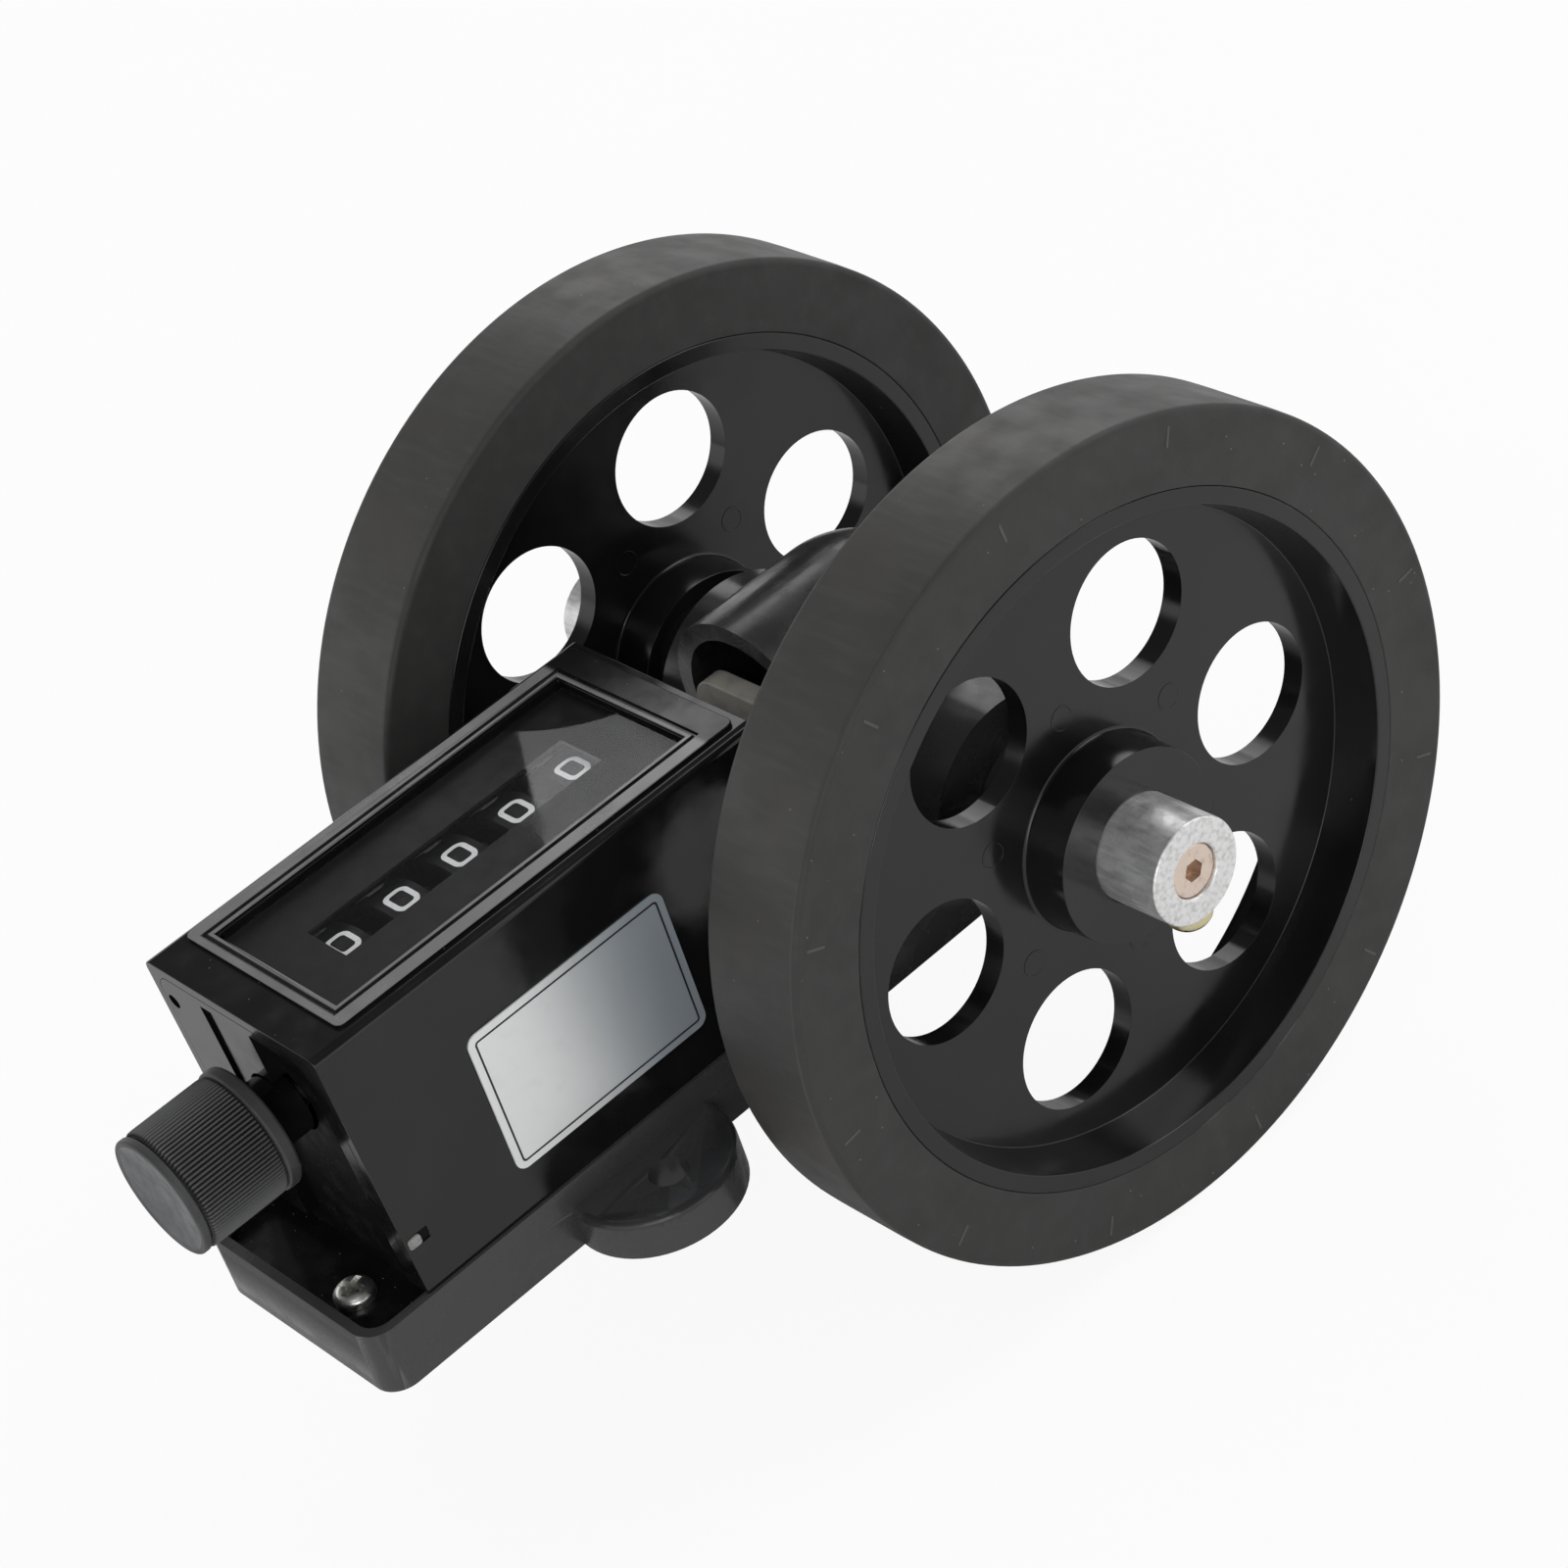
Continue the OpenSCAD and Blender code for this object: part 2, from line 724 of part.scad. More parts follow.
// Number drum: printed rim, web, hub and, on its rear side, the ring of transfer teeth
module number_drum(index, driven) {
    rim_half = drum_rim_w / 2;
    rear = driven ? rim_half + drum_gear_w : rim_half + end_play + reduction_w;
    front = index > 0 ? rim_half + lock_disc_t : rim_half;
    y = drum_last_y - drum_pitch * (drum_count - 1 - index);
    color(black_plastic) translate([0, y, drum_z]) along_y() difference() {
        union() {
            translate([0, 0, -rim_half]) ring(drum_r, drum_r - drum_wall, drum_rim_w);
            translate([0, 0, rim_half - drum_web_t])
                cylinder(r = drum_r - drum_wall + eps, h = drum_web_t);
            translate([0, 0, -front]) cylinder(r = drum_hub_r, h = front + rear, $fn = 48);
            if (driven)
                translate([0, 0, rim_half - eps])
                    rotate([0, 0, -transfer_turn])
                        linear_extrude(drum_gear_w + eps)
                            polygon(spur_outline(drum_gear_teeth, transfer_m));
            if (index > 0)
                translate([0, 0, -front]) cylinder(r = lock_disc_r, h = lock_disc_t + 1);
        }
        translate([0, 0, -front - 1])
            cylinder(r = drum_shaft_d / 2 + run_gap, h = front + rear + 2, $fn = 48);
    }
}

module drum_thousands() {
    number_drum(0, true);
}

module drum_hundreds() {
    number_drum(1, true);
}

module drum_tens() {
    number_drum(2, true);
}

module drum_units() {
    number_drum(3, true);
}

module drum_tenths() {
    number_drum(4, false);
}

// Pinion between drum number index and the next lower one
module transfer_pinion(index) {
    y = drum_last_y - drum_pitch * (drum_count - 1 - index) + drum_rim_w / 2 + end_play;
    color(nylon) translate([transfer_x, y, transfer_z]) along_y() difference() {
        rotate([0, 0, 180 - transfer_turn + 180 / transfer_teeth])
            linear_extrude(transfer_w) polygon(spur_outline(transfer_teeth, transfer_m));
        translate([0, 0, -1])
            cylinder(r = pinion_shaft_d / 2 + run_gap, h = transfer_w + 2, $fn = 32);
    }
}

module pinion_shaft() {
    color(bright_metal) translate([transfer_x, chassis_front_y, transfer_z]) along_y()
        cylinder(d = pinion_shaft_d, h = chassis_rear_y - chassis_front_y + chassis_t, $fn = 32);
}

module drum_shaft() {
    color(bright_metal) translate([0, -knob_back - knob_bore_depth, drum_z]) along_y()
        cylinder(d = drum_shaft_d, h = knob_back + knob_bore_depth + chassis_rear_y + chassis_t);
}

// One end plate of the chassis, drawn in X and Z
module end_plate_outline() {
    translate([-chassis_half, floor_z]) square([2 * chassis_half, chassis_top - floor_z - 3]);
    translate([-chassis_half + 3, floor_z])
        square([2 * (chassis_half - 3), chassis_top - floor_z]);
    for (x = [-1, 1])
        translate([x * (chassis_half - 3), chassis_top - 3]) circle(r = 3, $fn = 32);
}

// Sheet chassis: a floor that reaches out to the shelf, and two upright end plates
module chassis() {
    floor_half = base_half - rim_w - 0.3;
    color(bright_metal) difference() {
        union() {
            translate([0, 0, floor_z]) linear_extrude(chassis_t) intersection() {
                base_outline(rim_w + 0.3);
                translate([-floor_half, -chassis_nose])
                    square([2 * floor_half, chassis_nose + mouth_y - 1]);
            }
            for (y = [chassis_front_y, chassis_rear_y])
                translate([0, y + chassis_t, 0]) rotate([90, 0, 0])
                    linear_extrude(chassis_t) end_plate_outline();
        }
        translate([0, chassis_front_y - 1, drum_z]) along_y()
            cylinder(r = shaft_bush_r + seat_gap, h = chassis_rear_y + cover_front, $fn = 48);
        translate([transfer_x, chassis_front_y - 1, transfer_z]) along_y()
            cylinder(r = pinion_shaft_d / 2 + seat_gap, h = chassis_rear_y + cover_front, $fn = 32);
        translate([0, chassis_rear_y - 1, axle_z]) along_y()
            cylinder(r = drive_bush_r + seat_gap, h = chassis_t + 2, $fn = 48);
        for (at = [shelf_screw, rear_screw])
            translate([at[0], at[1], 0])
                cylinder(r = pan_shank_r + seat_gap, h = base_h, $fn = 32);
    }
}

module chassis_screws() {
    color(bright_metal) for (at = [shelf_screw, rear_screw])
        translate([at[0], at[1], chassis_floor])
            pan_screw(pan_head_r, pan_head_h, pan_shank_r, chassis_floor - 0.5);
}

module drum_shaft_bushes() {
    color(bronze) for (y = [chassis_front_y, chassis_rear_y])
        translate([0, y, drum_z]) along_y()
            ring(shaft_bush_r, drum_shaft_d / 2 + run_gap, chassis_t, $fn = 48);
}

module drive_shaft_bushes() {
    color(bronze) {
        translate([0, chassis_rear_y, axle_z]) along_y()
            ring(drive_bush_r, drive_shaft_d / 2 + run_gap, chassis_t);
        translate([0, mouth_y - 0.2, axle_z]) along_y()
            ring(drive_bush_r, drive_shaft_d / 2 + run_gap, bridge_t);
    }
}

// Knurled knob, hollow at its rear for the shaft
module reset_knob() {
    color(black_plastic) translate([0, 0, drum_z]) difference() {
        union() {
            translate([0, -knob_back - skirt_len, 0]) along_y()
                cylinder(r = knob_r + skirt_step, h = skirt_len);
            translate([0, -knurl_front, 0]) along_y()
                linear_extrude(knurl_len + eps) polygon([
                    for (i = [0:2 * knob_ribs - 1])
                        let (r = knob_r - (i % 2) * knurl_depth, a = i * 180 / knob_ribs)
                        [r * cos(a), r * sin(a)]
                ]);
            translate([0, -knob_front, 0]) along_y()
                cylinder(r = knob_r - 0.7, h = groove_len + 1);
            translate([0, -knob_back - 1, 0]) along_y()
                cylinder(r = knob_neck_r, h = knob_back + 1 - cover_front + front_recess - end_play);
        }
        translate([0, -knob_back - knob_bore_depth - seat_gap, 0]) along_y()
            cylinder(r = drum_shaft_d / 2 + seat_gap, h = 2 * knob_bore_depth, $fn = 48);
    }
}

// Dished disc in the knob's face
module knob_cap() {
    color(grey_satin) translate([0, -knob_front, drum_z]) rotate([90, 0, 0])
        difference() {
            cylinder(r = knob_r - 0.1, h = knob_cap_t);
            translate([0, 0, dish_r + knob_cap_t - dish_depth]) sphere(r = dish_r, $fn = 360);
        }
}

// ---- cover ----

module cover_outline(half, top, r, z0) {
    translate([-half, z0]) square([2 * half, top - r - z0]);
    translate([-half + r, z0]) square([2 * (half - r), top - z0]);
    for (x = [-1, 1])
        translate([x * (half - r), top - r]) circle(r = r, $fn = 32);
}

module cover() {
    inner_top = cover_top - cover_wall;
    color(black_plastic) difference() {
        translate([0, cover_back, 0]) rotate([90, 0, 0])
            linear_extrude(cover_back + cover_front)
                cover_outline(cover_half, cover_top, cover_edge, base_h);
        translate([0, cover_back - cover_wall, 0]) rotate([90, 0, 0])
            linear_extrude(cover_back + cover_front)
                cover_outline(cover_inner, inner_top, inner_corner, base_h - 1);
        // opening for the glass and its mask
        translate([0, 0, inner_top - 1]) linear_extrude(5) window_opening(seat_gap);
        // slot at the foot of the rear wall that lets the cover lift off over the shaft
        translate([0, cover_back - cover_wall - 1, 0]) along_y()
            linear_extrude(cover_wall + 2) {
                translate([0, -axle_z]) circle(r = cover_slot_top - axle_z, $fn = 48);
                translate([axle_z - cover_slot_top, -axle_z])
                    square([2 * (cover_slot_top - axle_z), axle_z]);
            }
        for (side = [-1, 1])
            translate([side * cover_half, -cover_front + tab_reach, tab_z])
                cube([2 * cover_wall + 1, tab_len + 2 * seat_gap, tab_h + 2 * seat_gap],
                    center = true);
    }
}

// Raised parts of the front plate: a flush panel on its left, and a flange along the top and
// the right-hand side that leaves a pocket with a round corner
module front_panels(half, top) {
    linear_extrude(front_recess) difference() {
        cover_outline(half, top, inner_corner, base_h);
        translate([panel_left - 0.15, base_h - 1])
            square([panel_right - panel_left + pocket_corner, top - flange_top - base_h + 1]);
        translate([panel_right, base_h - 1])
            square([half - flange_side - panel_right, top - flange_top - pocket_corner - base_h + 1]);
        for (x = [panel_right + pocket_corner, half - flange_side - pocket_corner])
            translate([x, top - flange_top - pocket_corner]) circle(r = pocket_corner, $fn = 24);
        translate([panel_right + pocket_corner, top - flange_top - pocket_corner])
            square([half - flange_side - panel_right - 2 * pocket_corner, pocket_corner]);
    }
    linear_extrude(front_recess - panel_step)
        translate([panel_left + 0.15, drum_z])
            square([panel_right - panel_left - 0.15, top - flange_top - drum_z]);
}

// Front plate set back in the cover's mouth
module front_plate() {
    half = cover_inner - seat_gap;
    top = cover_top - cover_wall - seat_gap;
    rear = front_plate_y;
    face = rear - front_plate_t;
    color(black_plastic) difference() {
        union() {
            translate([0, rear, 0]) rotate([90, 0, 0])
                linear_extrude(front_plate_t) cover_outline(half, top, inner_corner, chassis_floor);
            translate([0, face + eps, 0]) rotate([90, 0, 0]) front_panels(half, top);
            // snap tabs through the cover's side slots
            for (side = [-1, 1])
                translate([side * (cover_half - cover_wall / 2 - 0.5), -cover_front + tab_reach, tab_z])
                    cube([cover_wall + 0.6, tab_len, tab_h], center = true);
        }
        translate([0, face - 5, drum_z]) along_y()
            cylinder(r = knob_neck_r + end_play, h = 10, $fn = 48);
        // small hole for a seal wire
        translate([-cover_inner + 2.2, face - 5, seal_hole_z]) along_y()
            cylinder(r = seal_hole_r, h = 10, $fn = 24);
    }
}

// Frame round the glass, with a fine groove that leaves a narrow inner edge
module window_bezel() {
    color(black_plastic) translate([0, 0, cover_top]) difference() {
        linear_extrude(bezel_h)
            rounded_rect(window_w + 2 * bezel_side, -window_front - bezel_front,
                window_back + bezel_back, bezel_corner);
        translate([0, 0, -1]) linear_extrude(bezel_h + 2) window_opening(0);
        translate([0, 0, bezel_h - bezel_groove[2]]) linear_extrude(1) difference() {
            window_opening(bezel_groove[0] + bezel_groove[1]);
            window_opening(bezel_groove[0]);
        }
    }
}

// Outline of the glass, grown by margin on every side
module window_opening(margin) {
    translate([-window_w / 2 - margin, -window_front - margin])
        square([window_w + 2 * margin, window_front + window_back + 2 * margin]);
}

module window_glass() {
    color(glass_tint) translate([0, 0, glass_z]) linear_extrude(window_t) window_opening(0);
}

// Black mask under the glass, open over the digits
module window_mask() {
    slot_front = drum_last_y - (drum_count - 1) * drum_pitch - 1.8;
    slot_back = drum_last_y + 1.9;
    color(black_plastic)
        translate([0, 0, glass_z - mask_t]) linear_extrude(mask_t) difference() {
            window_opening(0);
            translate([-slot_w / 2, slot_front]) square([slot_w, slot_back - slot_front]);
        }
}

module side_plate() {
    color(bright_metal) translate([cover_half, 0, label_z]) rotate([90, 0, 90])
        linear_extrude(label_t) rounded_rect(label_len, -label_h / 2, label_h / 2, 1.5);
}

base();
gear_case();
bearing_bridge();
chassis();
cover();
front_plate();
window_bezel();
window_glass();
window_mask();
side_plate();
drum_shaft_bushes();
drive_shaft_bushes();
axle_bushes();
pinion_shaft();
chassis_screws();
case_screws();
axle();
wheel_near();
wheel_far();
tyre_near();
tyre_far();
sleeve_near();
sleeve_far();
end_screws();
clamp_screws();
axle_gear();
drive_shaft();
drive_gear();
reduction_pinion();
drum_thousands();
drum_hundreds();
drum_tens();
drum_units();
drum_tenths();
reduction_gear();
transfer_pinion(0);  // transfer_pinion_1
transfer_pinion(1);  // transfer_pinion_2
transfer_pinion(2);  // transfer_pinion_3
transfer_pinion(3);  // transfer_pinion_4
drum_shaft();
reset_knob();
knob_cap();
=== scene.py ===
"""Finished looks of a cable length counter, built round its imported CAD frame.

Lengths inside the making functions are millimetres; every piece is scaled to metres when it is
put on its body. Pieces are drawn about their own Z axis and then laid in place.
"""

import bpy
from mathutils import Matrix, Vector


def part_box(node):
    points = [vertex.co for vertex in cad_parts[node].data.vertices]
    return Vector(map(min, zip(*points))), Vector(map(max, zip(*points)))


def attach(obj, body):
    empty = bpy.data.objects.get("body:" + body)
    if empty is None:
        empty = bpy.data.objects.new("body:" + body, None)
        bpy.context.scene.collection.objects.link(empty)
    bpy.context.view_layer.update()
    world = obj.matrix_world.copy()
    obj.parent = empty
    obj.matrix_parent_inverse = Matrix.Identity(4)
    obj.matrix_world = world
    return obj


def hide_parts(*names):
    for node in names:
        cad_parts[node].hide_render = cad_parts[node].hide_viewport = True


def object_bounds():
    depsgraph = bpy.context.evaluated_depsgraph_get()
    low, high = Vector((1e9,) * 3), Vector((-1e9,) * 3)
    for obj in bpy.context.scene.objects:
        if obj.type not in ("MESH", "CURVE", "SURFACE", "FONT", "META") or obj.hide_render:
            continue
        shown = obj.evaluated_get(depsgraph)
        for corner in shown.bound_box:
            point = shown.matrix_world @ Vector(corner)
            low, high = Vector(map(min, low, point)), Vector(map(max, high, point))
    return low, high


bl_info = {
    "name": "Cable Length Counter",
    "version": (1, 0, 0),
    "blender": (4, 5, 0),
    "location": "View3D > Sidebar > Length Counter",
    "description": (
        "Wheels, casting, cover, window, number drums and knob of a cable length counter"
    ),
    "category": "Add Mesh",
}

import math
from types import SimpleNamespace

import bmesh
import bpy
from bpy.props import FloatProperty, FloatVectorProperty, IntProperty, PointerProperty
from mathutils import Matrix, Vector

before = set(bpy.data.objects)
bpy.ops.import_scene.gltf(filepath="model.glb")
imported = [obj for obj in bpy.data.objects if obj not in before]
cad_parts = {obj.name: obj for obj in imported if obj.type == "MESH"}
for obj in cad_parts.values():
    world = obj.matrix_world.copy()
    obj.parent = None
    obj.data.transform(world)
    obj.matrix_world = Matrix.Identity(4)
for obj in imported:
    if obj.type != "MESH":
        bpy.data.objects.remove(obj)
CAD_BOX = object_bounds()

MM = 0.001


def box_of(*nodes):
    """Lowest and highest corner of these CAD nodes together, in millimetres."""
    boxes = [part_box(node) for node in nodes]
    low = [min(box[0][i] for box in boxes) / MM for i in range(3)]
    high = [max(box[1][i] for box in boxes) / MM for i in range(3)]
    return Vector(low), Vector(high)


def middle_of(node):
    """Centre of a CAD node's box, in millimetres."""
    low, high = box_of(node)
    return (low + high) / 2


AXLE = middle_of("axle")
WHEEL_BOX = box_of("wheel_near", "tyre_near")
KNOB_BOX = box_of("reset_knob")
KNOB_AXIS = middle_of("knob_cap")
GLASS_BOX = box_of("window_glass")
PLATE_BOX = box_of("side_plate")
FLOOR_LEVEL = CAD_BOX[0].z

# Directions in which a piece drawn about Z is laid
ALONG_X = Matrix(((0, 0, 1, 0), (1, 0, 0, 0), (0, 1, 0, 0), (0, 0, 0, 1)))
ALONG_MINUS_X = Matrix(((0, 0, -1, 0), (-1, 0, 0, 0), (0, 1, 0, 0), (0, 0, 0, 1)))
TO_FRONT = Matrix(((1, 0, 0, 0), (0, 0, -1, 0), (0, 1, 0, 0), (0, 0, 0, 1)))
DOWNWARD = Matrix.Rotation(math.pi, 4, "X")

DRUMS = ("thousands", "hundreds", "tens", "units", "tenths")
SMOOTH_ANGLE = math.radians(32)
WHEEL_WIDTH = WHEEL_BOX[1].x - WHEEL_BOX[0].x
KEY_HEIGHT = 1.2  # of the rib inside the tyre that sits in the rim's groove
WHITE = (1, 1, 1, 1)


# ---- sizes and colours that a user would change ----


def length(name, description, default_mm):
    return FloatProperty(
        name=name, description=description, default=default_mm * MM, min=0, unit="LENGTH",
        precision=5,
    )


def colour(name, description, default):
    return FloatVectorProperty(
        name=name, description=description, default=default, size=3, min=0, max=1,
        subtype="COLOR",
    )


class WheelSizes(bpy.types.PropertyGroup):
    tyre_radius: length(
        "Tyre radius", "Radius over the tread", (WHEEL_BOX[1].z - WHEEL_BOX[0].z) / 2
    )
    tread: length("Tread", "Thickness of the rubber", 9.65)
    shoulder: length("Shoulder", "Rounding of the tyre's edges", 0.9)
    rim_wall: length("Rim", "Thickness of the rim at its open edge", 2.2)
    web: length("Web", "Thickness of the web", 3.0)
    hub_radius: length("Hub radius", "Radius of the moulded hub", 12.5)
    hole_radius: length("Hole radius", "Radius of a lightening hole", 9.0)
    hole_reach: length("Hole circle", "Radius of the circle that the holes lie on", 26.8)
    hole_count: IntProperty(
        name="Holes", description="Number of lightening holes", default=6, min=3, max=12
    )
    near_turn: FloatProperty(
        name="Near turn", description="Turn of the near wheel's holes",
        default=math.radians(3.4), subtype="ANGLE",
    )
    far_turn: FloatProperty(
        name="Far turn", description="Turn of the far wheel's holes",
        default=math.radians(16), subtype="ANGLE",
    )


class AxleSizes(bpy.types.PropertyGroup):
    sleeve_radius: length("Sleeve radius", "Radius of the sleeve that carries a wheel", 6.8)
    bore_radius: length("Bore radius", "Radius of the hole in the sleeve's end", 3.47)
    screw_radius: length("Screw radius", "Radius of the locking screw in the sleeve's end", 3.45)
    socket_width: length("Socket", "Width across the flats of the hexagon socket", 2.5)
    clamp_head: length("Clamp head", "Radius of the clamp screw's head", 2.9)


class KnobSizes(bpy.types.PropertyGroup):
    radius: length("Radius", "Radius over the ribs", 8.0)
    ribs: IntProperty(
        name="Ribs", description="Number of ribs round the knob", default=92, min=24, max=200
    )
    rib_depth: length("Rib depth", "Depth of the grooves between the ribs", 0.4)
    skirt: length("Skirt", "Length of the smooth collar", 1.8)
    knurled: length("Knurled length", "Length of the ribbed part", 11.0)
    groove: length("Groove", "Gap between the ribs and the disc", 0.3)


class CounterSizes(bpy.types.PropertyGroup):
    figure_height: length("Figure height", "Height of a printed figure", 4.4)
    figure_width: length("Figure width", "Width of a printed figure", 3.5)
    stroke: length("Stroke", "Width of a figure's stroke", 0.72)
    drum_radius: length("Drum radius", "Radius of a number drum", 13.0)
    border_inset: length("Border inset", "From the plate's edge to its printed border", 0.95)


class CounterColours(bpy.types.PropertyGroup):
    moulding: colour(
        "Moulding", "Glossy black of the wheels and the cover", (0.0065, 0.0065, 0.007)
    )
    casting: colour("Casting", "Semi-gloss black of the base and gear case", (0.026, 0.026, 0.027))
    rubber: colour("Rubber", "Matte black of the tyres", (0.037, 0.037, 0.036))
    knob: colour("Knob", "Satin black of the knob", (0.05, 0.0505, 0.0515))
    figures: colour("Figures", "White of the printed figures", (0.9, 0.92, 0.93))
    plate: colour("Plate", "Silver of the plate on the cover", (0.93, 0.94, 0.94))
    bridge: colour("Bridge", "Cream of the bearing bridge", (0.8, 0.76, 0.68))


class StageSizes(bpy.types.PropertyGroup):
    lens: FloatProperty(
        name="Lens", description="Focal length of the camera", default=96.37, unit="CAMERA"
    )
    fill: FloatProperty(
        name="Fill", description="Strength of the even light from all round", default=0.5, min=0
    )
    key: FloatProperty(
        name="Key", description="Power of the large lamp overhead", default=3.2, min=0,
        unit="POWER",
    )


def in_mm(group):
    """The lengths of a property group in millimetres, and its other values as they are."""
    values = {}
    for key, prop in group.bl_rna.properties.items():
        if key in ("rna_type", "name"):
            continue
        value = getattr(group, key)
        values[key] = value / MM if getattr(prop, "unit", "") == "LENGTH" else value
    return SimpleNamespace(**values)


def sizes_of(name):
    """The scene's property group of this name, with its lengths in millimetres."""
    return in_mm(getattr(bpy.context.scene, name))


# ---- outlines ----


def rounded(corners, steps=6, closed=True):
    """Outline through (u, v, radius) corners, with every corner turned into an arc."""
    points = []
    count = len(corners)
    for i, (u, v, radius) in enumerate(corners):
        here = Vector((u, v))
        open_end = not closed and i in (0, count - 1)
        if radius <= 0 or open_end:
            points.append(here)
            continue
        back = Vector(corners[i - 1][:2]) - here
        ahead = Vector(corners[(i + 1) % count][:2]) - here
        half = back.angle(ahead) / 2
        reach = min(radius / math.tan(half), 0.49 * back.length, 0.49 * ahead.length)
        bisector = (back.normalized() + ahead.normalized()).normalized()
        centre = here + bisector * reach / math.cos(half)
        start = here + back.normalized() * reach - centre
        sweep = math.pi - 2 * half
        if back.x * ahead.y - back.y * ahead.x > 0:
            sweep = -sweep
        for k in range(steps + 1):
            turn = Matrix.Rotation(sweep * k / steps, 2)
            points.append(centre + turn @ start)
    return points


def rounded_box(low, high, radius, steps=6):
    """Rounded rectangle from its low to its high corner."""
    corners = ((low[0], low[1]), (high[0], low[1]), (high[0], high[1]), (low[0], high[1]))
    return rounded([(u, v, radius) for u, v in corners], steps)


def polygon(radius, count):
    """Regular outline of so many corners."""
    turns = [k * math.tau / count for k in range(count)]
    return [(radius * math.cos(turn), radius * math.sin(turn)) for turn in turns]


# ---- meshes ----


def add_object(name, mesh):
    piece = bpy.data.objects.new(name, mesh)
    bpy.context.scene.collection.objects.link(piece)
    return piece


def from_bmesh(name, shape):
    """Object of a bmesh, with its doubles merged and its faces turned outwards."""
    bmesh.ops.remove_doubles(shape, verts=shape.verts, dist=1e-4)
    bmesh.ops.recalc_face_normals(shape, faces=shape.faces)
    mesh = bpy.data.meshes.new(name)
    shape.to_mesh(mesh)
    shape.free()
    return add_object(name, mesh)


def band(shape, first, second, shut=None):
    """Faces between two rings of vertices, but none along an edge with both ends shut."""
    count = len(first)
    for i in range(count):
        j = (i + 1) % count
        if not (shut and shut[i] and shut[j]):
            shape.faces.new((first[i], first[j], second[j], second[i]))


def revolved(name, outline, steps=96):
    """Ring of a closed outline of (radius, height) points, turned about Z."""
    shape = bmesh.new()
    rings = []
    for k in range(steps):
        turn = 2 * math.pi * k / steps
        rings.append([
            shape.verts.new((r * math.cos(turn), r * math.sin(turn), h)) for r, h in outline
        ])
    on_axis = [r < 1e-6 for r, _ in outline]
    for k in range(steps):
        band(shape, rings[k], rings[(k + 1) % steps], on_axis)
    bmesh.ops.remove_doubles(shape, verts=shape.verts, dist=1e-5)
    bmesh.ops.dissolve_degenerate(shape, edges=shape.edges, dist=1e-6)
    return from_bmesh(name, shape)


def prism(name, outline, low, high, taper=1.0):
    """Prism of an outline from the height low to the height high; taper narrows its foot."""
    shape = bmesh.new()
    foot = [shape.verts.new((u * taper, v * taper, low)) for u, v in outline]
    top = [shape.verts.new((u, v, high)) for u, v in outline]
    shape.faces.new(foot)
    shape.faces.new(top)
    band(shape, foot, top)
    return from_bmesh(name, shape)


def ring_prism(name, outer, inner, low, high):
    """Prism between two outlines of as many points."""
    shape = bmesh.new()
    loops = [
        [shape.verts.new((u, v, h)) for u, v in line]
        for line, h in ((outer, low), (outer, high), (inner, high), (inner, low))
    ]
    for k in range(4):
        band(shape, loops[k], loops[(k + 1) % 4])
    return from_bmesh(name, shape)


def baked_mesh(piece):
    """Puts the result of the piece's modifiers in its mesh and removes them."""
    bpy.context.view_layer.update()
    graph = bpy.context.evaluated_depsgraph_get()
    mesh = bpy.data.meshes.new_from_object(piece.evaluated_get(graph), depsgraph=graph)
    piece.modifiers.clear()
    old = piece.data
    piece.data = mesh
    mesh.name = piece.name
    bpy.data.meshes.remove(old)
    return piece


def cut(piece, cutter):
    """Takes the cutter away from the piece."""
    modifier = piece.modifiers.new("cut", "BOOLEAN")
    modifier.operation = "DIFFERENCE"
    modifier.solver = "EXACT"
    modifier.object = cutter
    baked_mesh(piece)
    bpy.data.objects.remove(cutter)
    return piece


def join(name, *pieces):
    """One object of several pieces."""
    shape = bmesh.new()
    for piece in pieces:
        shape.from_mesh(piece.data)
        bpy.data.objects.remove(piece)
    mesh = bpy.data.meshes.new(name)
    shape.to_mesh(mesh)
    shape.free()
    return add_object(name, mesh)


def copy_of_node(name, node):
    """A CAD node's mesh in millimetres, with its loose triangles merged into whole faces."""
    shape = bmesh.new()
    shape.from_mesh(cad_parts[node].data)
    bmesh.ops.scale(shape, vec=(1 / MM,) * 3, verts=shape.verts)
    bmesh.ops.remove_doubles(shape, verts=shape.verts, dist=2e-3)
    bmesh.ops.dissolve_limit(
        shape, angle_limit=math.radians(0.6), verts=shape.verts, edges=shape.edges
    )
    return from_bmesh(name, shape)


def soften(piece, width, segments=3, angle=35):
    """Rounds the piece's sharp edges and evens out its shading."""
    bevel = piece.modifiers.new("edges", "BEVEL")
    bevel.width = width
    bevel.segments = segments
    bevel.limit_method = "ANGLE"
    bevel.angle_limit = math.radians(angle)
    bevel.use_clamp_overlap = True
    bevel.miter_outer = "MITER_ARC"
    baked_mesh(piece)
    return shade(piece)


def shade(piece):
    """Smooth shading with flat faces kept flat."""
    mesh = piece.data
    mesh.shade_smooth()
    mesh.set_sharp_from_angle(angle=SMOOTH_ANGLE)
    weights = piece.modifiers.new("shading", "WEIGHTED_NORMAL")
    weights.keep_sharp = True
    weights.weight = 80
    return baked_mesh(piece)


def lay(piece, direction=Matrix.Identity(4), at=(0, 0, 0)):
    """Turns a piece drawn about Z and moves it to its place, in millimetres."""
    piece.data.transform(Matrix.Translation(at) @ direction)
    return piece


def lay_on_axle(piece, node):
    """Lays a piece along the axle, with its height 0 at the left side face of this node."""
    return lay(piece, ALONG_X, (box_of(node)[0].x, AXLE.y, AXLE.z))


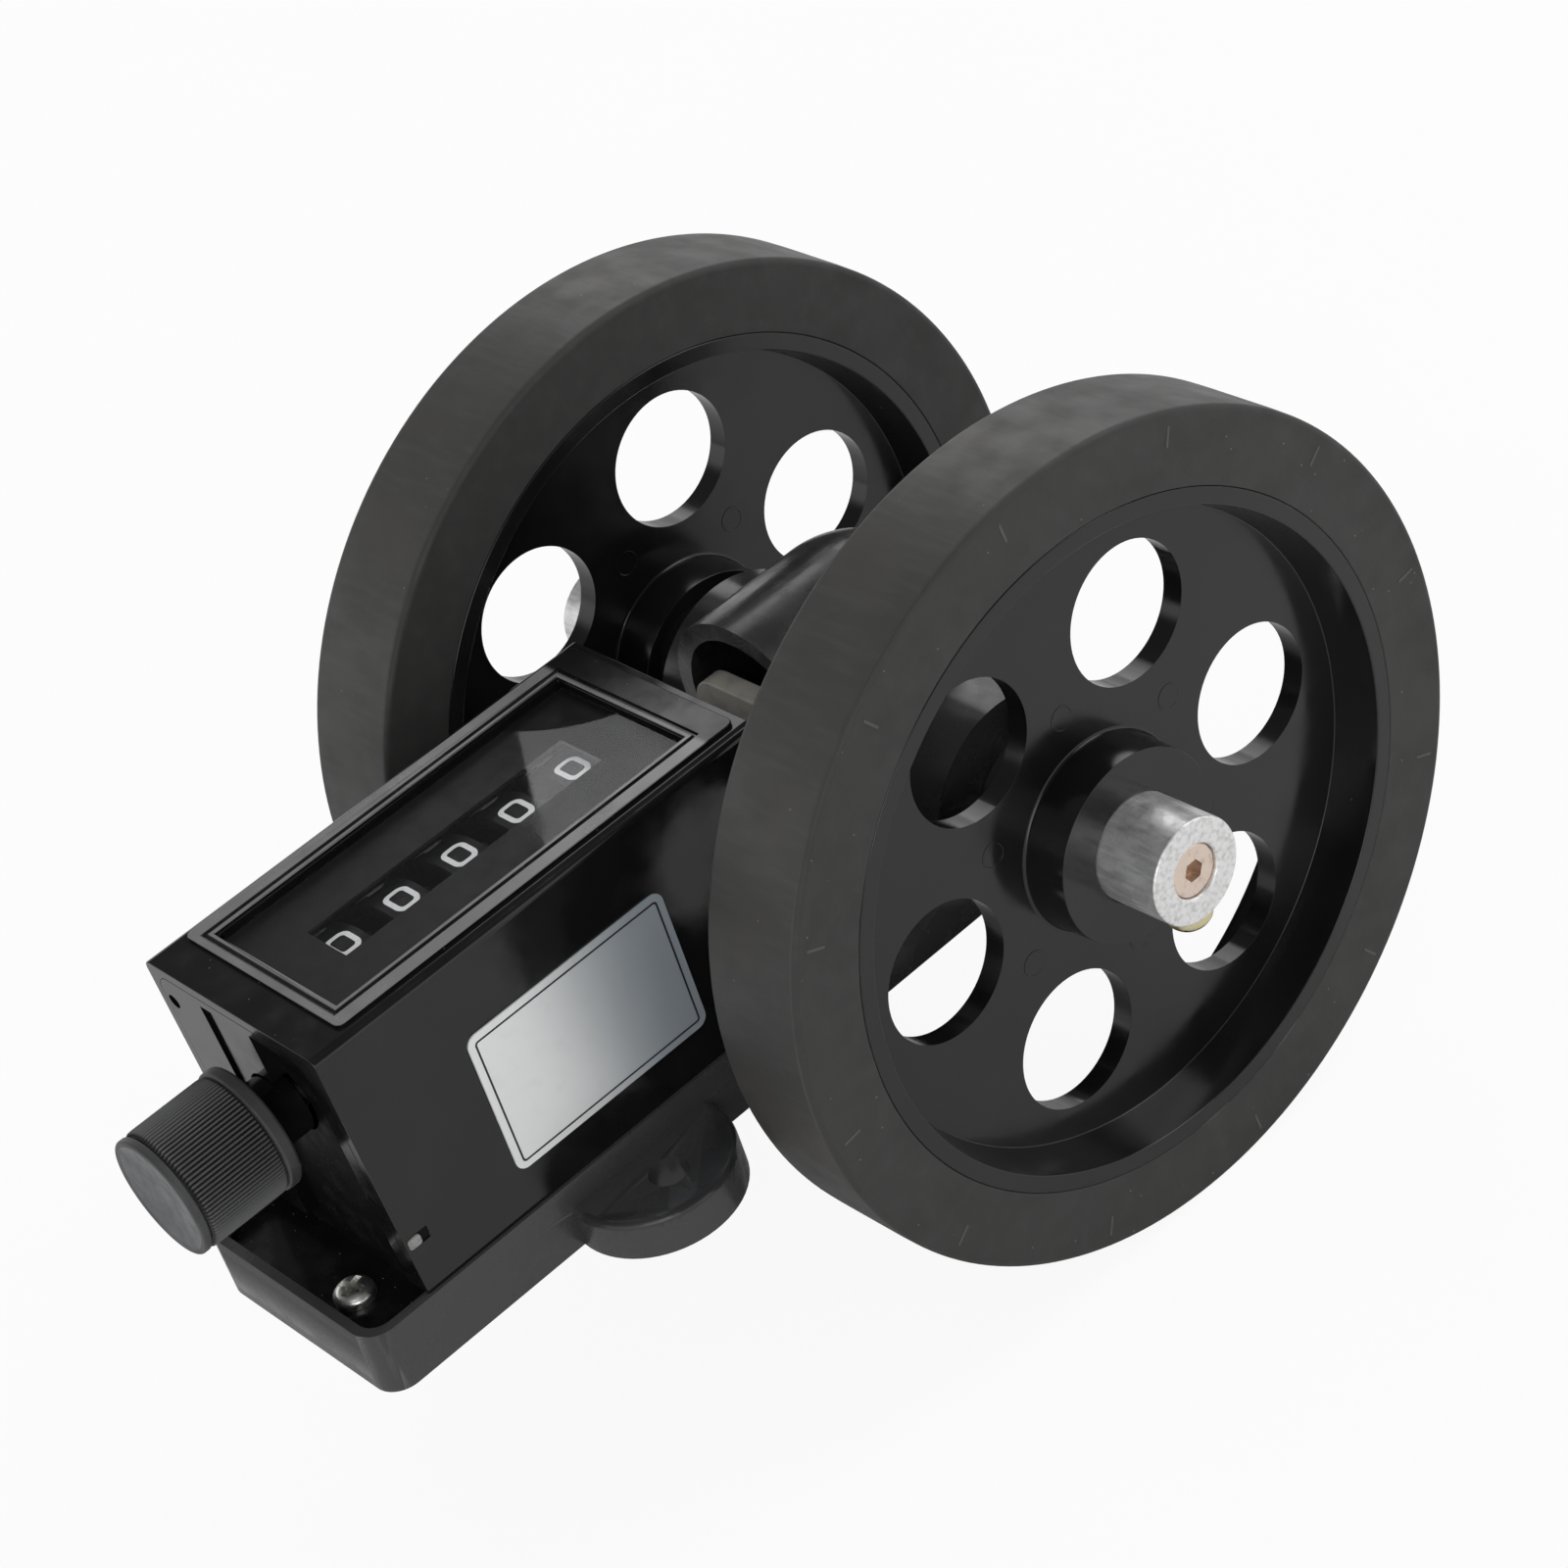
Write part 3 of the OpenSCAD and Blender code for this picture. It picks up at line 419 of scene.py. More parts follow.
def fit(piece, body, finish, slot, *nodes):
    """Puts a finished piece on its body in metres, in place of its CAD nodes."""
    piece.data.transform(Matrix.Scale(MM, 4))
    piece.data.materials.clear()
    piece.data.materials.append(finish_of(finish))
    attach(piece, body)
    if nodes:
        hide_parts(*nodes)


def second_finish(piece, finish, chosen):
    """Another finish on the faces of a fitted piece whose centre, in millimetres, is chosen."""
    piece.data.materials.append(finish_of(finish))
    for face in piece.data.polygons:
        if chosen(face.center / MM):
            face.material_index = 1


def add_node(tree, kind, sources=None, **settings):
    """A node with its settings, and its inputs linked or set by name or number."""
    made = tree.nodes.new(kind)
    for key, value in settings.items():
        setattr(made, key, value)
    for key, source in (sources or {}).items():
        if isinstance(source, bpy.types.NodeSocket):
            tree.links.new(source, made.inputs[key])
        else:
            made.inputs[key].default_value = source
    return made


# ---- repeated shapes, made by geometry nodes ----


class NodeTree:
    """A geometry node tree with named inputs."""

    def __init__(self, name, inputs):
        self.tree = bpy.data.node_groups.new(name, "GeometryNodeTree")
        face = self.tree.interface
        face.new_socket("Geometry", in_out="INPUT", socket_type="NodeSocketGeometry")
        face.new_socket("Geometry", in_out="OUTPUT", socket_type="NodeSocketGeometry")
        for label, kind in inputs:
            face.new_socket(label, in_out="INPUT", socket_type="NodeSocket" + kind)
        self.start = self.add("NodeGroupInput")
        self.end = self.add("NodeGroupOutput")

    def add(self, kind, sources=None, **settings):
        return add_node(self.tree, kind, sources, **settings)

    def sum(self, operation, *values):
        """Result of a math node."""
        sources = dict(enumerate(values))
        return self.add("ShaderNodeMath", sources, operation=operation).outputs[0]

    def vector(self, x=0.0, y=0.0, z=0.0):
        return self.add("ShaderNodeCombineXYZ", {"X": x, "Y": y, "Z": z}).outputs[0]

    def finish(self, geometry):
        """Ends the tree in Realize Instances and Set Material."""
        whole = self.add("GeometryNodeRealizeInstances", {"Geometry": geometry})
        coated = self.add(
            "GeometryNodeSetMaterial",
            {"Geometry": whole.outputs[0], "Material": self.start.outputs["Material"]},
        )
        self.tree.links.new(coated.outputs[0], self.end.inputs[0])
        return self.tree

    def on_circle(self, geometry, count, reach, turn):
        """Copies of the geometry round the Z axis, each turned with its place."""
        rod = self.add(
            "GeometryNodeMeshLine", {"Count": count, "Offset": (0.0, 0.0, 0.0)},
            mode="OFFSET",
        )
        number = self.add("GeometryNodeInputIndex").outputs[0]
        share = self.sum("DIVIDE", self.sum("MULTIPLY", number, math.tau), count)
        angle = self.sum("ADD", share, turn)
        spun = self.add("GeometryNodeInstanceOnPoints", {
            "Points": rod.outputs[0],
            "Instance": self.add("GeometryNodeTransform", {
                "Geometry": geometry, "Translation": self.vector(x=reach),
            }).outputs[0],
            "Rotation": self.vector(z=angle),
        })
        return spun.outputs[0]


def run_tree(piece, tree, **values):
    """Runs a node tree on a piece with its inputs set, and keeps the resulting mesh."""
    modifier = piece.modifiers.new("nodes", "NODES")
    modifier.node_group = tree
    for item in tree.interface.items_tree:
        key = item.name.lower().replace(" ", "_")
        if item.in_out == "INPUT" and key in values:
            modifier[item.identifier] = values[key]
    return baked_mesh(piece)


def wheel_hole_tree():
    """Lightening holes cut through a turned wheel, evenly round its axis."""
    made = NodeTree("Wheel holes", [
        ("Holes", "Int"), ("Hole radius", "Float"), ("Hole reach", "Float"),
        ("Turn", "Float"), ("Depth", "Float"), ("Material", "Material"),
    ])
    given = made.start.outputs
    drill = made.add("GeometryNodeMeshCylinder", {
        "Vertices": 72, "Radius": given["Hole radius"], "Depth": given["Depth"],
    })
    drills = made.add("GeometryNodeRealizeInstances", {"Geometry": made.on_circle(
        drill.outputs["Mesh"], given["Holes"], given["Hole reach"], given["Turn"]
    )})
    bored = made.add("GeometryNodeMeshBoolean", {
        "Mesh 1": given["Geometry"], "Mesh 2": drills.outputs[0],
    }, operation="DIFFERENCE")
    return made.finish(bored.outputs["Mesh"])


def ring_of_copies_tree():
    """Copies of the piece's own shape, evenly round its axis."""
    made = NodeTree("Ring of copies", [
        ("Count", "Int"), ("Reach", "Float"), ("Turn", "Float"), ("Material", "Material"),
    ])
    given = made.start.outputs
    return made.finish(made.on_circle(
        given["Geometry"], given["Count"], given["Reach"], given["Turn"]
    ))


def knurl_tree():
    """Band of straight ribs round an axis, with both ends run out to the grooves' depth."""
    made = NodeTree("Knurled band", [
        ("Ribs", "Int"), ("Radius", "Float"), ("Rib depth", "Float"), ("Length", "Float"),
        ("Run out", "Float"), ("Material", "Material"),
    ])
    given = made.start.outputs
    points_per_rib = 4.0
    band_mesh = made.add("GeometryNodeMeshCylinder", {
        "Vertices": made.sum("MULTIPLY", given["Ribs"], points_per_rib), "Side Segments": 24,
        "Radius": given["Radius"], "Depth": given["Length"],
    }, fill_type="NONE")
    number = made.add("GeometryNodeInputIndex").outputs[0]
    phase = made.sum("FLOORED_MODULO", number, points_per_rib)
    from_crest = made.sum("ABSOLUTE", made.sum("SUBTRACT", phase, points_per_rib / 2))
    groove = made.sum("MULTIPLY", from_crest, 0.5)
    place = made.add("GeometryNodeInputPosition").outputs[0]
    parts = made.add("ShaderNodeSeparateXYZ", {"Vector": place}).outputs
    half = made.sum("MULTIPLY", given["Length"], 0.5)
    from_end = made.sum("SUBTRACT", half, made.sum("ABSOLUTE", parts["Z"]))
    share = made.sum("MINIMUM", 1.0, made.sum("DIVIDE", from_end, given["Run out"]))
    depth = made.sum("MAXIMUM", groove, made.sum("SUBTRACT", 1.0, share))
    inward = made.sum("MULTIPLY", made.sum("MULTIPLY", depth, given["Rib depth"]), -1.0)
    radial = made.add("ShaderNodeVectorMath", {
        0: made.vector(parts["X"], parts["Y"]),
    }, operation="NORMALIZE")
    shift = made.add("ShaderNodeVectorMath", {
        0: radial.outputs[0], "Scale": inward,
    }, operation="SCALE")
    moved = made.add("GeometryNodeSetPosition", {
        "Geometry": band_mesh.outputs["Mesh"], "Offset": shift.outputs[0],
    })
    return made.finish(moved.outputs[0])


def screw_places_tree():
    """One screw on each point of the piece, each turned a little further than the last."""
    made = NodeTree("Screws in place", [
        ("Screw", "Object"), ("Turn", "Float"), ("Turn step", "Float"),
        ("Material", "Material"),
    ])
    given = made.start.outputs
    screw = made.add("GeometryNodeObjectInfo", {"Object": given["Screw"]})
    number = made.add("GeometryNodeInputIndex").outputs[0]
    angle = made.sum("ADD", given["Turn"], made.sum("MULTIPLY", number, given["Turn step"]))
    placed = made.add("GeometryNodeInstanceOnPoints", {
        "Points": given["Geometry"], "Instance": screw.outputs["Geometry"],
        "Rotation": made.vector(z=angle),
    })
    return made.finish(placed.outputs[0])


# ---- finishes ----


class Finish:
    """A material whose colour, roughness and grain vary over the piece.

    Patterns lie on object coordinates, which are metres, so a scale is one over a size.
    """

    def __init__(self, name, **settings):
        self.material = bpy.data.materials.new(name)
        self.material.use_nodes = True
        self.tree = self.material.node_tree
        self.tree.nodes.clear()
        self.shader = self.tree.nodes.new("ShaderNodeBsdfPrincipled")
        out = self.tree.nodes.new("ShaderNodeOutputMaterial")
        self.tree.links.new(self.shader.outputs[0], out.inputs[0])
        self.place = self.tree.nodes.new("ShaderNodeTexCoord").outputs["Object"]
        self.normal = None
        for key, value in settings.items():
            label = key.replace("_", " ").title().replace("Ior", "IOR")
            self.shader.inputs[label].default_value = value

    def node(self, kind, sources=None, **settings):
        return add_node(self.tree, kind, sources, **settings)

    def noise(self, size_mm, detail=3.0, stretch=(1, 1, 1)):
        """Cloudy pattern with features of about size_mm."""
        mapping = self.node("ShaderNodeMapping", {"Vector": self.place, "Scale": stretch})
        made = self.node("ShaderNodeTexNoise", {
            "Vector": mapping.outputs[0], "Scale": 1 / (size_mm * MM), "Detail": detail,
        })
        return made.outputs["Fac"]

    def ramp(self, source, low, high, dark=0.0, bright=1.0):
        """Maps low to high of a pattern onto dark to bright."""
        made = self.node("ShaderNodeMapRange", {
            "Value": source, "From Min": low, "From Max": high, "To Min": dark,
            "To Max": bright,
        }, interpolation_type="SMOOTHSTEP")
        return made.outputs[0]

    def sum(self, operation, a, b=0.0):
        """Result of a math node."""
        return self.node("ShaderNodeMath", {0: a, 1: b}, operation=operation).outputs[0]

    def times(self, a, b):
        return self.sum("MULTIPLY", a, b)

    def specks(self, spacing_mm, size_mm, share):
        """Small grains scattered over the surface; share of the cells hold one."""
        cells = self.node("ShaderNodeTexVoronoi", {
            "Vector": self.place, "Scale": 1 / (spacing_mm * MM),
        })
        inside = self.ramp(
            cells.outputs["Distance"], size_mm / spacing_mm, 0.45 * size_mm / spacing_mm
        )
        picked = self.node("ShaderNodeSeparateColor", {"Color": cells.outputs["Color"]})
        return self.times(inside, self.sum("GREATER_THAN", picked.outputs[0], 1 - share))

    def colours(self, base, *layers):
        """Base colour with (mask, colour) layers over it."""
        current = (*base, 1)
        for mask, layer in layers:
            mix = self.node(
                "ShaderNodeMix", {0: mask, 6: current, 7: (*layer, 1)}, data_type="RGBA"
            )
            current = mix.outputs[2]
        self.tree.links.new(current, self.shader.inputs["Base Color"])

    def roughness(self, source):
        self.tree.links.new(source, self.shader.inputs["Roughness"])

    def bump(self, height, depth_mm):
        """Adds relief to what is there already."""
        made = self.node("ShaderNodeBump", {
            "Height": height, "Distance": depth_mm * MM, "Strength": 1.0,
        })
        if self.normal is not None:
            self.tree.links.new(self.normal, made.inputs["Normal"])
        self.normal = made.outputs[0]
        self.tree.links.new(self.normal, self.shader.inputs["Normal"])


def tinted(rgb, factor):
    return tuple(min(1.0, value * factor) for value in rgb)


def grey(value):
    return (value,) * 3


# Masks: each is a function of the finish that it is made for


def cloudy(size_mm, detail, low, high, dark=0.0, bright=1.0, stretch=(1, 1, 1)):
    """Cloudy patches, from low to high of the noise."""
    return lambda made: made.ramp(
        made.noise(size_mm, detail, stretch), low, high, dark, bright
    )


def specks(spacing_mm, size_mm, share):
    return lambda made: made.specks(spacing_mm, size_mm, share)


def worn(low, high):
    """Outward edges, where the finish is rubbed."""
    return lambda made: made.ramp(
        made.node("ShaderNodeNewGeometry").outputs["Pointiness"], low, high
    )


def painted_band_highlights(made):
    """The two narrow raised bands round the window, painted pale as a highlight: a painted
    reflection along the front and sides, left out at the rear.
    """
    place = made.node("ShaderNodeSeparateXYZ", {"Vector": made.place}).outputs
    low, high = GLASS_BOX[0] * MM, GLASS_BOX[1] * MM
    raised = made.ramp(place["Z"], 46.35 * MM, 46.46 * MM)
    ahead = made.ramp(place["Y"], high.y + 1 * MM, high.y)
    aside = made.sum("SUBTRACT", made.sum("ABSOLUTE", place["X"]), high.x)
    before = made.sum("SUBTRACT", low.y, place["Y"])
    off = made.sum("MAXIMUM", aside, before)
    outer, inner = made.ramp(off, 1.2 * MM, 1.3 * MM), made.ramp(off, 0.6 * MM, 0.5 * MM)
    bands = made.sum("MAXIMUM", outer, inner)
    patchy = cloudy(6, 4, 0.2, 0.5, 0.75, 1.0)(made)
    return made.times(made.times(raised, ahead), made.times(bands, patchy))


def crest_highlight_mask(made):
    """The knob's ribs, but not the grooves between them: where a highlight is painted on the
    crests.
    """
    size = sizes_of("knob_sizes")
    centre = made.node("ShaderNodeVectorMath", {
        0: made.place, 1: (KNOB_AXIS.x * MM, 0, KNOB_AXIS.z * MM),
    }, operation="SUBTRACT")
    flat = made.node(
        "ShaderNodeVectorMath", {0: centre.outputs[0], 1: (1, 0, 1)}, operation="MULTIPLY"
    )
    reach = made.node("ShaderNodeVectorMath", {0: flat.outputs[0]}, operation="LENGTH")
    return made.ramp(
        reach.outputs["Value"], (size.radius - 0.85 * size.rib_depth) * MM,
        (size.radius - 0.1 * size.rib_depth) * MM,
    )


# Patchy painted highlight on the ribs' crests
def patchy_crest_highlight(made):
    return made.times(crest_highlight_mask(made), cloudy(4, 4, 0.45, 0.75)(made))


def painted_plate_reflection(made):
    """Rises from the front of the side plate towards its rear: a painted reflection, bright silver
    in front fading to blue-grey at the rear.
    """
    along = made.node("ShaderNodeSeparateXYZ", {"Vector": made.place}).outputs["Y"]
    return made.ramp(along, -9 * MM, 12 * MM)


def gloss(level):
    return {"specular_ior_level": level}


def plated(base, *more):
    """Row of a plated or polished metal."""
    return (
        base, {"metallic": 1.0}, [(cloudy(1.4, 4, 0.48, 0.72), 0.75)],
        cloudy(1.2, 4, 0.3, 0.7, 0.26, 0.42), [(0.6, 3, 0.006), *more],
    )


# For each finish: its base, which is a colour or the name of a user's colour with or without a
# factor; the shader's settings; the layers over the base, each a mask with a colour or with a
# factor on the base's unchanged colour; the roughness; and the relief, as (size in mm, detail,
# depth in mm) with or without a stretch.
RECIPES = {
    "glossy_moulding": (
        "moulding", gloss(0.5),
        [(cloudy(9, 4, 0.45, 0.7), 1.35), (specks(1.3, 0.11, 0.25), grey(0.16))],
        cloudy(5, 5, 0.35, 0.72, 0.1, 0.22), [(7, 1, 0.012), (0.35, 2, 0.0012)],
    ),
    # The pale bands round the window are a painted highlight
    "bezel_bands": (
        "moulding", gloss(0.5),
        [(painted_band_highlights, grey(0.19)), (specks(1.2, 0.1, 0.3), grey(0.16))],
        cloudy(4, 5, 0.35, 0.72, 0.16, 0.3), [(0.5, 3, 0.003)],
    ),
    "tab_grey": (
        (0.3, 0.3, 0.29), gloss(0.4), [(cloudy(0.8, 4, 0.45, 0.7), grey(0.2))],
        cloudy(0.7, 3, 0.3, 0.75, 0.3, 0.5), [(0.3, 3, 0.005)],
    ),
    "wheel_moulding": (
        "moulding", gloss(0.5),
        [(cloudy(14, 4, 0.4, 0.75), 1.4), (specks(2.4, 0.12, 0.12), grey(0.13))],
        cloudy(8, 5, 0.3, 0.75, 0.12, 0.24), [(16, 1, 0.03), (0.6, 2, 0.0015)],
    ),
    "painted_casting": (
        "casting", gloss(0.5),
        [(cloudy(11, 4, 0.4, 0.75), 1.5), (worn(0.52, 0.6), (0.05, 0.05, 0.052)),
         (specks(1.9, 0.13, 0.12), grey(0.12))],
        cloudy(4, 5, 0.3, 0.75, 0.18, 0.34), [(2.2, 3, 0.02), (0.5, 2, 0.004)],
    ),
    "shelf_paint": (
        "moulding", gloss(0.5),
        [(cloudy(5, 4, 0.45, 0.75), 2.0), (specks(0.9, 0.12, 0.4), grey(0.22))],
        cloudy(3, 5, 0.3, 0.75, 0.14, 0.34), [(1.4, 3, 0.01)],
    ),
    "tyre_rubber": (
        "rubber", gloss(0.35),
        [(cloudy(2.4, 5, 0.42, 0.8, stretch=(0.25, 1, 1)), 1.2),
         (cloudy(22, 3, 0.52, 0.72), (0.041, 0.040, 0.038)),
         (worn(0.515, 0.56), (0.085, 0.085, 0.082)),
         (specks(2.1, 0.16, 0.22), (0.15, 0.15, 0.145))],
        cloudy(6, 5, 0.3, 0.75, 0.5, 0.68), [(0.9, 4, 0.02), (0.22, 2, 0.008)],
    ),
    # Fine marks run across the ground running face
    "ground_tread": (
        ("rubber", 1.35), gloss(0.5),
        [(cloudy(1.1, 4, 0.4, 0.75, stretch=(0.16, 1, 1)), 1.62),
         (cloudy(17, 4, 0.5, 0.68), (0.056, 0.053, 0.048)),
         (specks(2.1, 0.16, 0.2), (0.16, 0.16, 0.155))],
        cloudy(6, 5, 0.3, 0.75, 0.44, 0.6), [(0.8, 4, 0.018, (0.2, 1, 1))],
    ),
    "turned_aluminium": (
        grey(0.92), {"metallic": 0.8},
        [(cloudy(0.7, 5, 0.42, 0.7, stretch=(0.18, 1, 1)), (0.66, 0.66, 0.65)),
         (cloudy(0.45, 4, 0.5, 0.72), (0.8, 0.8, 0.79))],
        cloudy(1.3, 5, 0.35, 0.7, 0.36, 0.5), [(0.28, 3, 0.03, (1, 0.05, 0.05)), (0.4, 4, 0.012)],
    ),
    "copper_screw": (
        (0.86, 0.72, 0.62), {"metallic": 1.0},
        [(cloudy(1.2, 4, 0.5, 0.75), (0.66, 0.52, 0.43))],
        cloudy(0.9, 4, 0.3, 0.7, 0.25, 0.5), [(0.4, 3, 0.008)],
    ),
    "yellow_zinc": (
        (0.78, 0.7, 0.42), {"metallic": 1.0},
        [(cloudy(1.5, 4, 0.45, 0.7), (0.62, 0.6, 0.4))],
        cloudy(1.0, 4, 0.3, 0.7, 0.22, 0.42), [(0.5, 3, 0.006)],
    ),
    "bright_plating": plated((0.93, 0.93, 0.9)),
    "ground_steel": plated((0.6, 0.6, 0.61)),
    "cut_brass": plated((0.68, 0.52, 0.27)),
    "oiled_bronze": plated((0.5, 0.36, 0.2), (0.25, 2, 0.01)),
    "satin_knob": (
        "knob", gloss(0.4), [(cloudy(4, 4, 0.4, 0.75), 1.4), (worn(0.53, 0.6), 1.8)],
        cloudy(3, 4, 0.3, 0.75, 0.42, 0.56), [(0.3, 3, 0.004)],
    ),
    # Painted shade in the grooves and a painted highlight on the ribs' crests
    "knurled_knob": (
        ("knob", 0.25), gloss(0.4), [(crest_highlight_mask, 2.6), (patchy_crest_highlight, 2.0)],
        cloudy(3, 4, 0.3, 0.75, 0.4, 0.55), [(0.3, 3, 0.003)],
    ),
    # Duller black in the recess behind the knob and at the window's rear, with dust in it
    "pocket_moulding": (
        "moulding", gloss(0.06),
        [(cloudy(3, 4, 0.45, 0.75), 2.2), (specks(0.8, 0.1, 0.45), grey(0.14))],
        cloudy(2, 5, 0.3, 0.75, 0.4, 0.55), [(0.8, 3, 0.006)],
    ),
    "knob_disc": (
        (0.1, 0.105, 0.11), {"metallic": 0.35},
        [(cloudy(3.5, 4, 0.4, 0.75), (0.14, 0.145, 0.15))],
        cloudy(1.5, 5, 0.3, 0.75, 0.34, 0.5), [(0.25, 3, 0.003)],
    ),
    "cream_moulding": (
        "bridge", gloss(0.4), [(cloudy(3, 4, 0.42, 0.7), 0.75)],
        cloudy(3, 4, 0.3, 0.75, 0.4, 0.55), [(0.6, 3, 0.006)],
    ),
    "natural_nylon": (
        (0.78, 0.77, 0.72), {"subsurface_weight": 0.1},
        [(cloudy(3, 3, 0.4, 0.7), (0.66, 0.65, 0.6))],
        cloudy(2, 3, 0.3, 0.75, 0.35, 0.5), [(0.5, 3, 0.004)],
    ),
    "matte_drum": (
        (0.007, 0.007, 0.008), gloss(0.2), [(cloudy(2.5, 4, 0.4, 0.7), (0.016, 0.016, 0.017))],
        cloudy(2, 4, 0.3, 0.75, 0.4, 0.58), [(0.5, 3, 0.004)],
    ),
    "printed_mask": (
        grey(0.006), gloss(0.3), [(cloudy(3, 4, 0.45, 0.75), grey(0.009))],
        cloudy(2, 4, 0.3, 0.75, 0.35, 0.5), [(0.6, 2, 0.002)],
    ),
    "white_print": (
        "figures", gloss(0.4), [(cloudy(0.7, 4, 0.5, 0.75), 0.88)],
        cloudy(0.8, 3, 0.3, 0.75, 0.4, 0.55), [(0.3, 2, 0.002)],
    ),
    "black_print": (
        (0.015, 0.015, 0.017), gloss(0.4), [(cloudy(0.8, 3, 0.5, 0.75), (0.04, 0.04, 0.045))],
        cloudy(0.8, 3, 0.3, 0.75, 0.35, 0.5), [],
    ),
    # The side plate fades from silver to blue-grey towards its rear: a painted reflection
    "silver_plate": (
        "plate", {"metallic": 0.3},
        [(cloudy(2.4, 4, 0.5, 0.8), 0.96), (painted_plate_reflection, (0.4, 0.45, 0.49))],
        cloudy(0.5, 4, 0.3, 0.75, 0.3, 0.44, (1, 1, 0.08)), [(0.25, 3, 0.001, (1, 1, 0.1))],
    ),
    "clear_glass": (
        (0.55, 0.55, 0.56), {"metallic": 1.0, "alpha": 0.07},
        [(cloudy(5, 4, 0.5, 0.8), grey(0.62))],
        cloudy(6, 4, 0.45, 0.8, 0.02, 0.09), [(14, 1, 0.004)],
    ),
}
FINISHES = {}


def finish_of(name):
    """The named finish's material, made the first time that it is asked for."""
    if name not in FINISHES:
        base, settings, layers, roughness, relief = RECIPES[name]
        factor = 1.0
        if isinstance(base, tuple) and isinstance(base[0], str):
            base, factor = base
        if isinstance(base, str):
            base = tuple(getattr(bpy.context.scene.counter_colours, base))
        made = Finish(name, **settings)
        made.colours(tinted(base, factor), *(
            (mask(made), over if isinstance(over, tuple) else tinted(base, over))
            for mask, over in layers
        ))
        made.roughness(roughness(made))
        for size_mm, detail, depth_mm, *stretch in relief:
            made.bump(made.noise(size_mm, detail, *stretch), depth_mm)
        FINISHES[name] = made.material
    return FINISHES[name]


# ---- figures ----

PRINT_HEIGHT = 0.06
PRINT_DEPTH = 0.02


def figure_strokes(half_w, half_h):
    """Centre lines of the ten figures: (points with corner radii, closed) strokes."""
    small, large = 0.55, 0.9
    a, b = half_w, half_h
    six = [([(a * 0.8, b, 0), (-a, b, large), (-a, -b, large), (a, -b, large), (a, 0.1, large),
             (-a, 0.1, 0)], False)]
    return [
        [([(-a, -b, large), (a, -b, large), (a, b, large), (-a, b, large)], True)],
        [([(-0.8, b - 0.7, 0), (0, b, 0), (0, -b, 0)], False)],
        [([(-a, b - 0.7, 0), (-a, b, small), (a, b, large), (a, 0.1, large), (-a, -b, 0.2),
           (a, -b, 0)], False)],
        [([(-a, b, 0), (a, b, large), (a, 0.1, small), (-0.5, 0.1, 0)], False),
         ([(-0.5, 0.1, 0), (a, 0.1, small), (a, -b, large), (-a, -b, 0)], False)],
        [([(0.5, -b, 0), (0.5, b, 0.2), (-a, -0.7, 0.2), (a + 0.2, -0.7, 0)], False)],
        [([(a, b, 0), (-a, b, 0.1), (-a, 0.2, 0.1), (a, 0.2, large), (a, -b, large),
           (-a, -b, 0)], False)],
        six,
        [([(-a, b, 0), (a, b, 0.2), (-0.4, -b, 0)], False)],
        [([(-a * 0.9, 0.1, small), (a * 0.9, 0.1, small), (a * 0.9, b, small),
           (-a * 0.9, b, small)], True),
         ([(-a, -b, large), (a, -b, large), (a, 0.1, small), (-a, 0.1, small)], True)],
        [([(-u, -v, r) for u, v, r in six[0][0]], False)],
    ]


def add_ribbon(shape, line, closed, width, wrap, thickness):
    """Raised ribbon of a width along a line; wrap lays a point (u, v, height) on the drum."""
    count = len(line)
    half = width / 2
    sides = []
    for i, here in enumerate(line):
        back = line[i - 1] if closed or i else here
        ahead = line[(i + 1) % count] if closed or i < count - 1 else here
        along = (ahead - back).normalized()
        across = Vector((-along.y, along.x)) * half
        sides.append((here - across, here + across))
    rows = [
        [shape.verts.new(wrap(point.x, point.y, h)) for point, h in (
            (left, 0), (left, thickness), (right, thickness), (right, 0))]
        for left, right in sides
    ]
    for i in range(count if closed else count - 1):
        band(shape, rows[i], rows[(i + 1) % count])
    if not closed:
        shape.faces.new(rows[0])
        shape.faces.new(rows[-1])


def figures_on_drum(name, drum_middle, size):
    """The ten printed figures round one number drum, read from the drum's right-hand side."""
    shape = bmesh.new()
    half_w = (size.figure_width - size.stroke) / 2
    half_h = (size.figure_height - size.stroke) / 2
    for value, strokes in enumerate(figure_strokes(half_w, half_h)):
        middle = value * math.tau / 10

        def wrap(u, v, height):
            turn = middle - v / size.drum_radius
            reach = size.drum_radius - PRINT_DEPTH + height
            return (
                drum_middle.x + reach * math.sin(turn), drum_middle.y + u,
                drum_middle.z + reach * math.cos(turn),
            )

        for corners, closed in strokes:
            line = rounded(corners, 5, closed)
            add_ribbon(shape, line, closed, size.stroke, wrap, PRINT_HEIGHT)
    return from_bmesh(name, shape)


# ---- screws ----


def pan_screw(name, head_r, head_h, shank_r, shank_len):
    """Pan-head screw with a cross recess: its seat is at height 0 and its head points up."""
    body = revolved(name, rounded([
        (0, -shank_len, 0), (shank_r, -shank_len, 0.3), (shank_r, 0, 0.05), (head_r, 0, 0.12),
        (head_r, head_h * 0.5, head_h * 0.45), (head_r * 0.66, head_h, head_h * 1.2),
        (0, head_h, 0),
    ], 6), 48)
    reach, half = head_r * 0.7, head_r * 0.17
    arm = [(reach, -half, 0.05), (reach, half, 0.05), (half, half, 0.12)]
    cross = []
    for _ in range(4):
        cross += arm
        arm = [(-v, u, radius) for u, v, radius in arm]
    recess = prism("recess", rounded(cross, 2), head_h * 0.15, head_h + 0.2, 0.6)
    return soften(cut(body, recess), 0.06, 2, 40)


# ---- operators ----


class Maker(bpy.types.Operator):
    """Common parts of the operators that make a piece."""

    bl_options = {"REGISTER", "UNDO"}


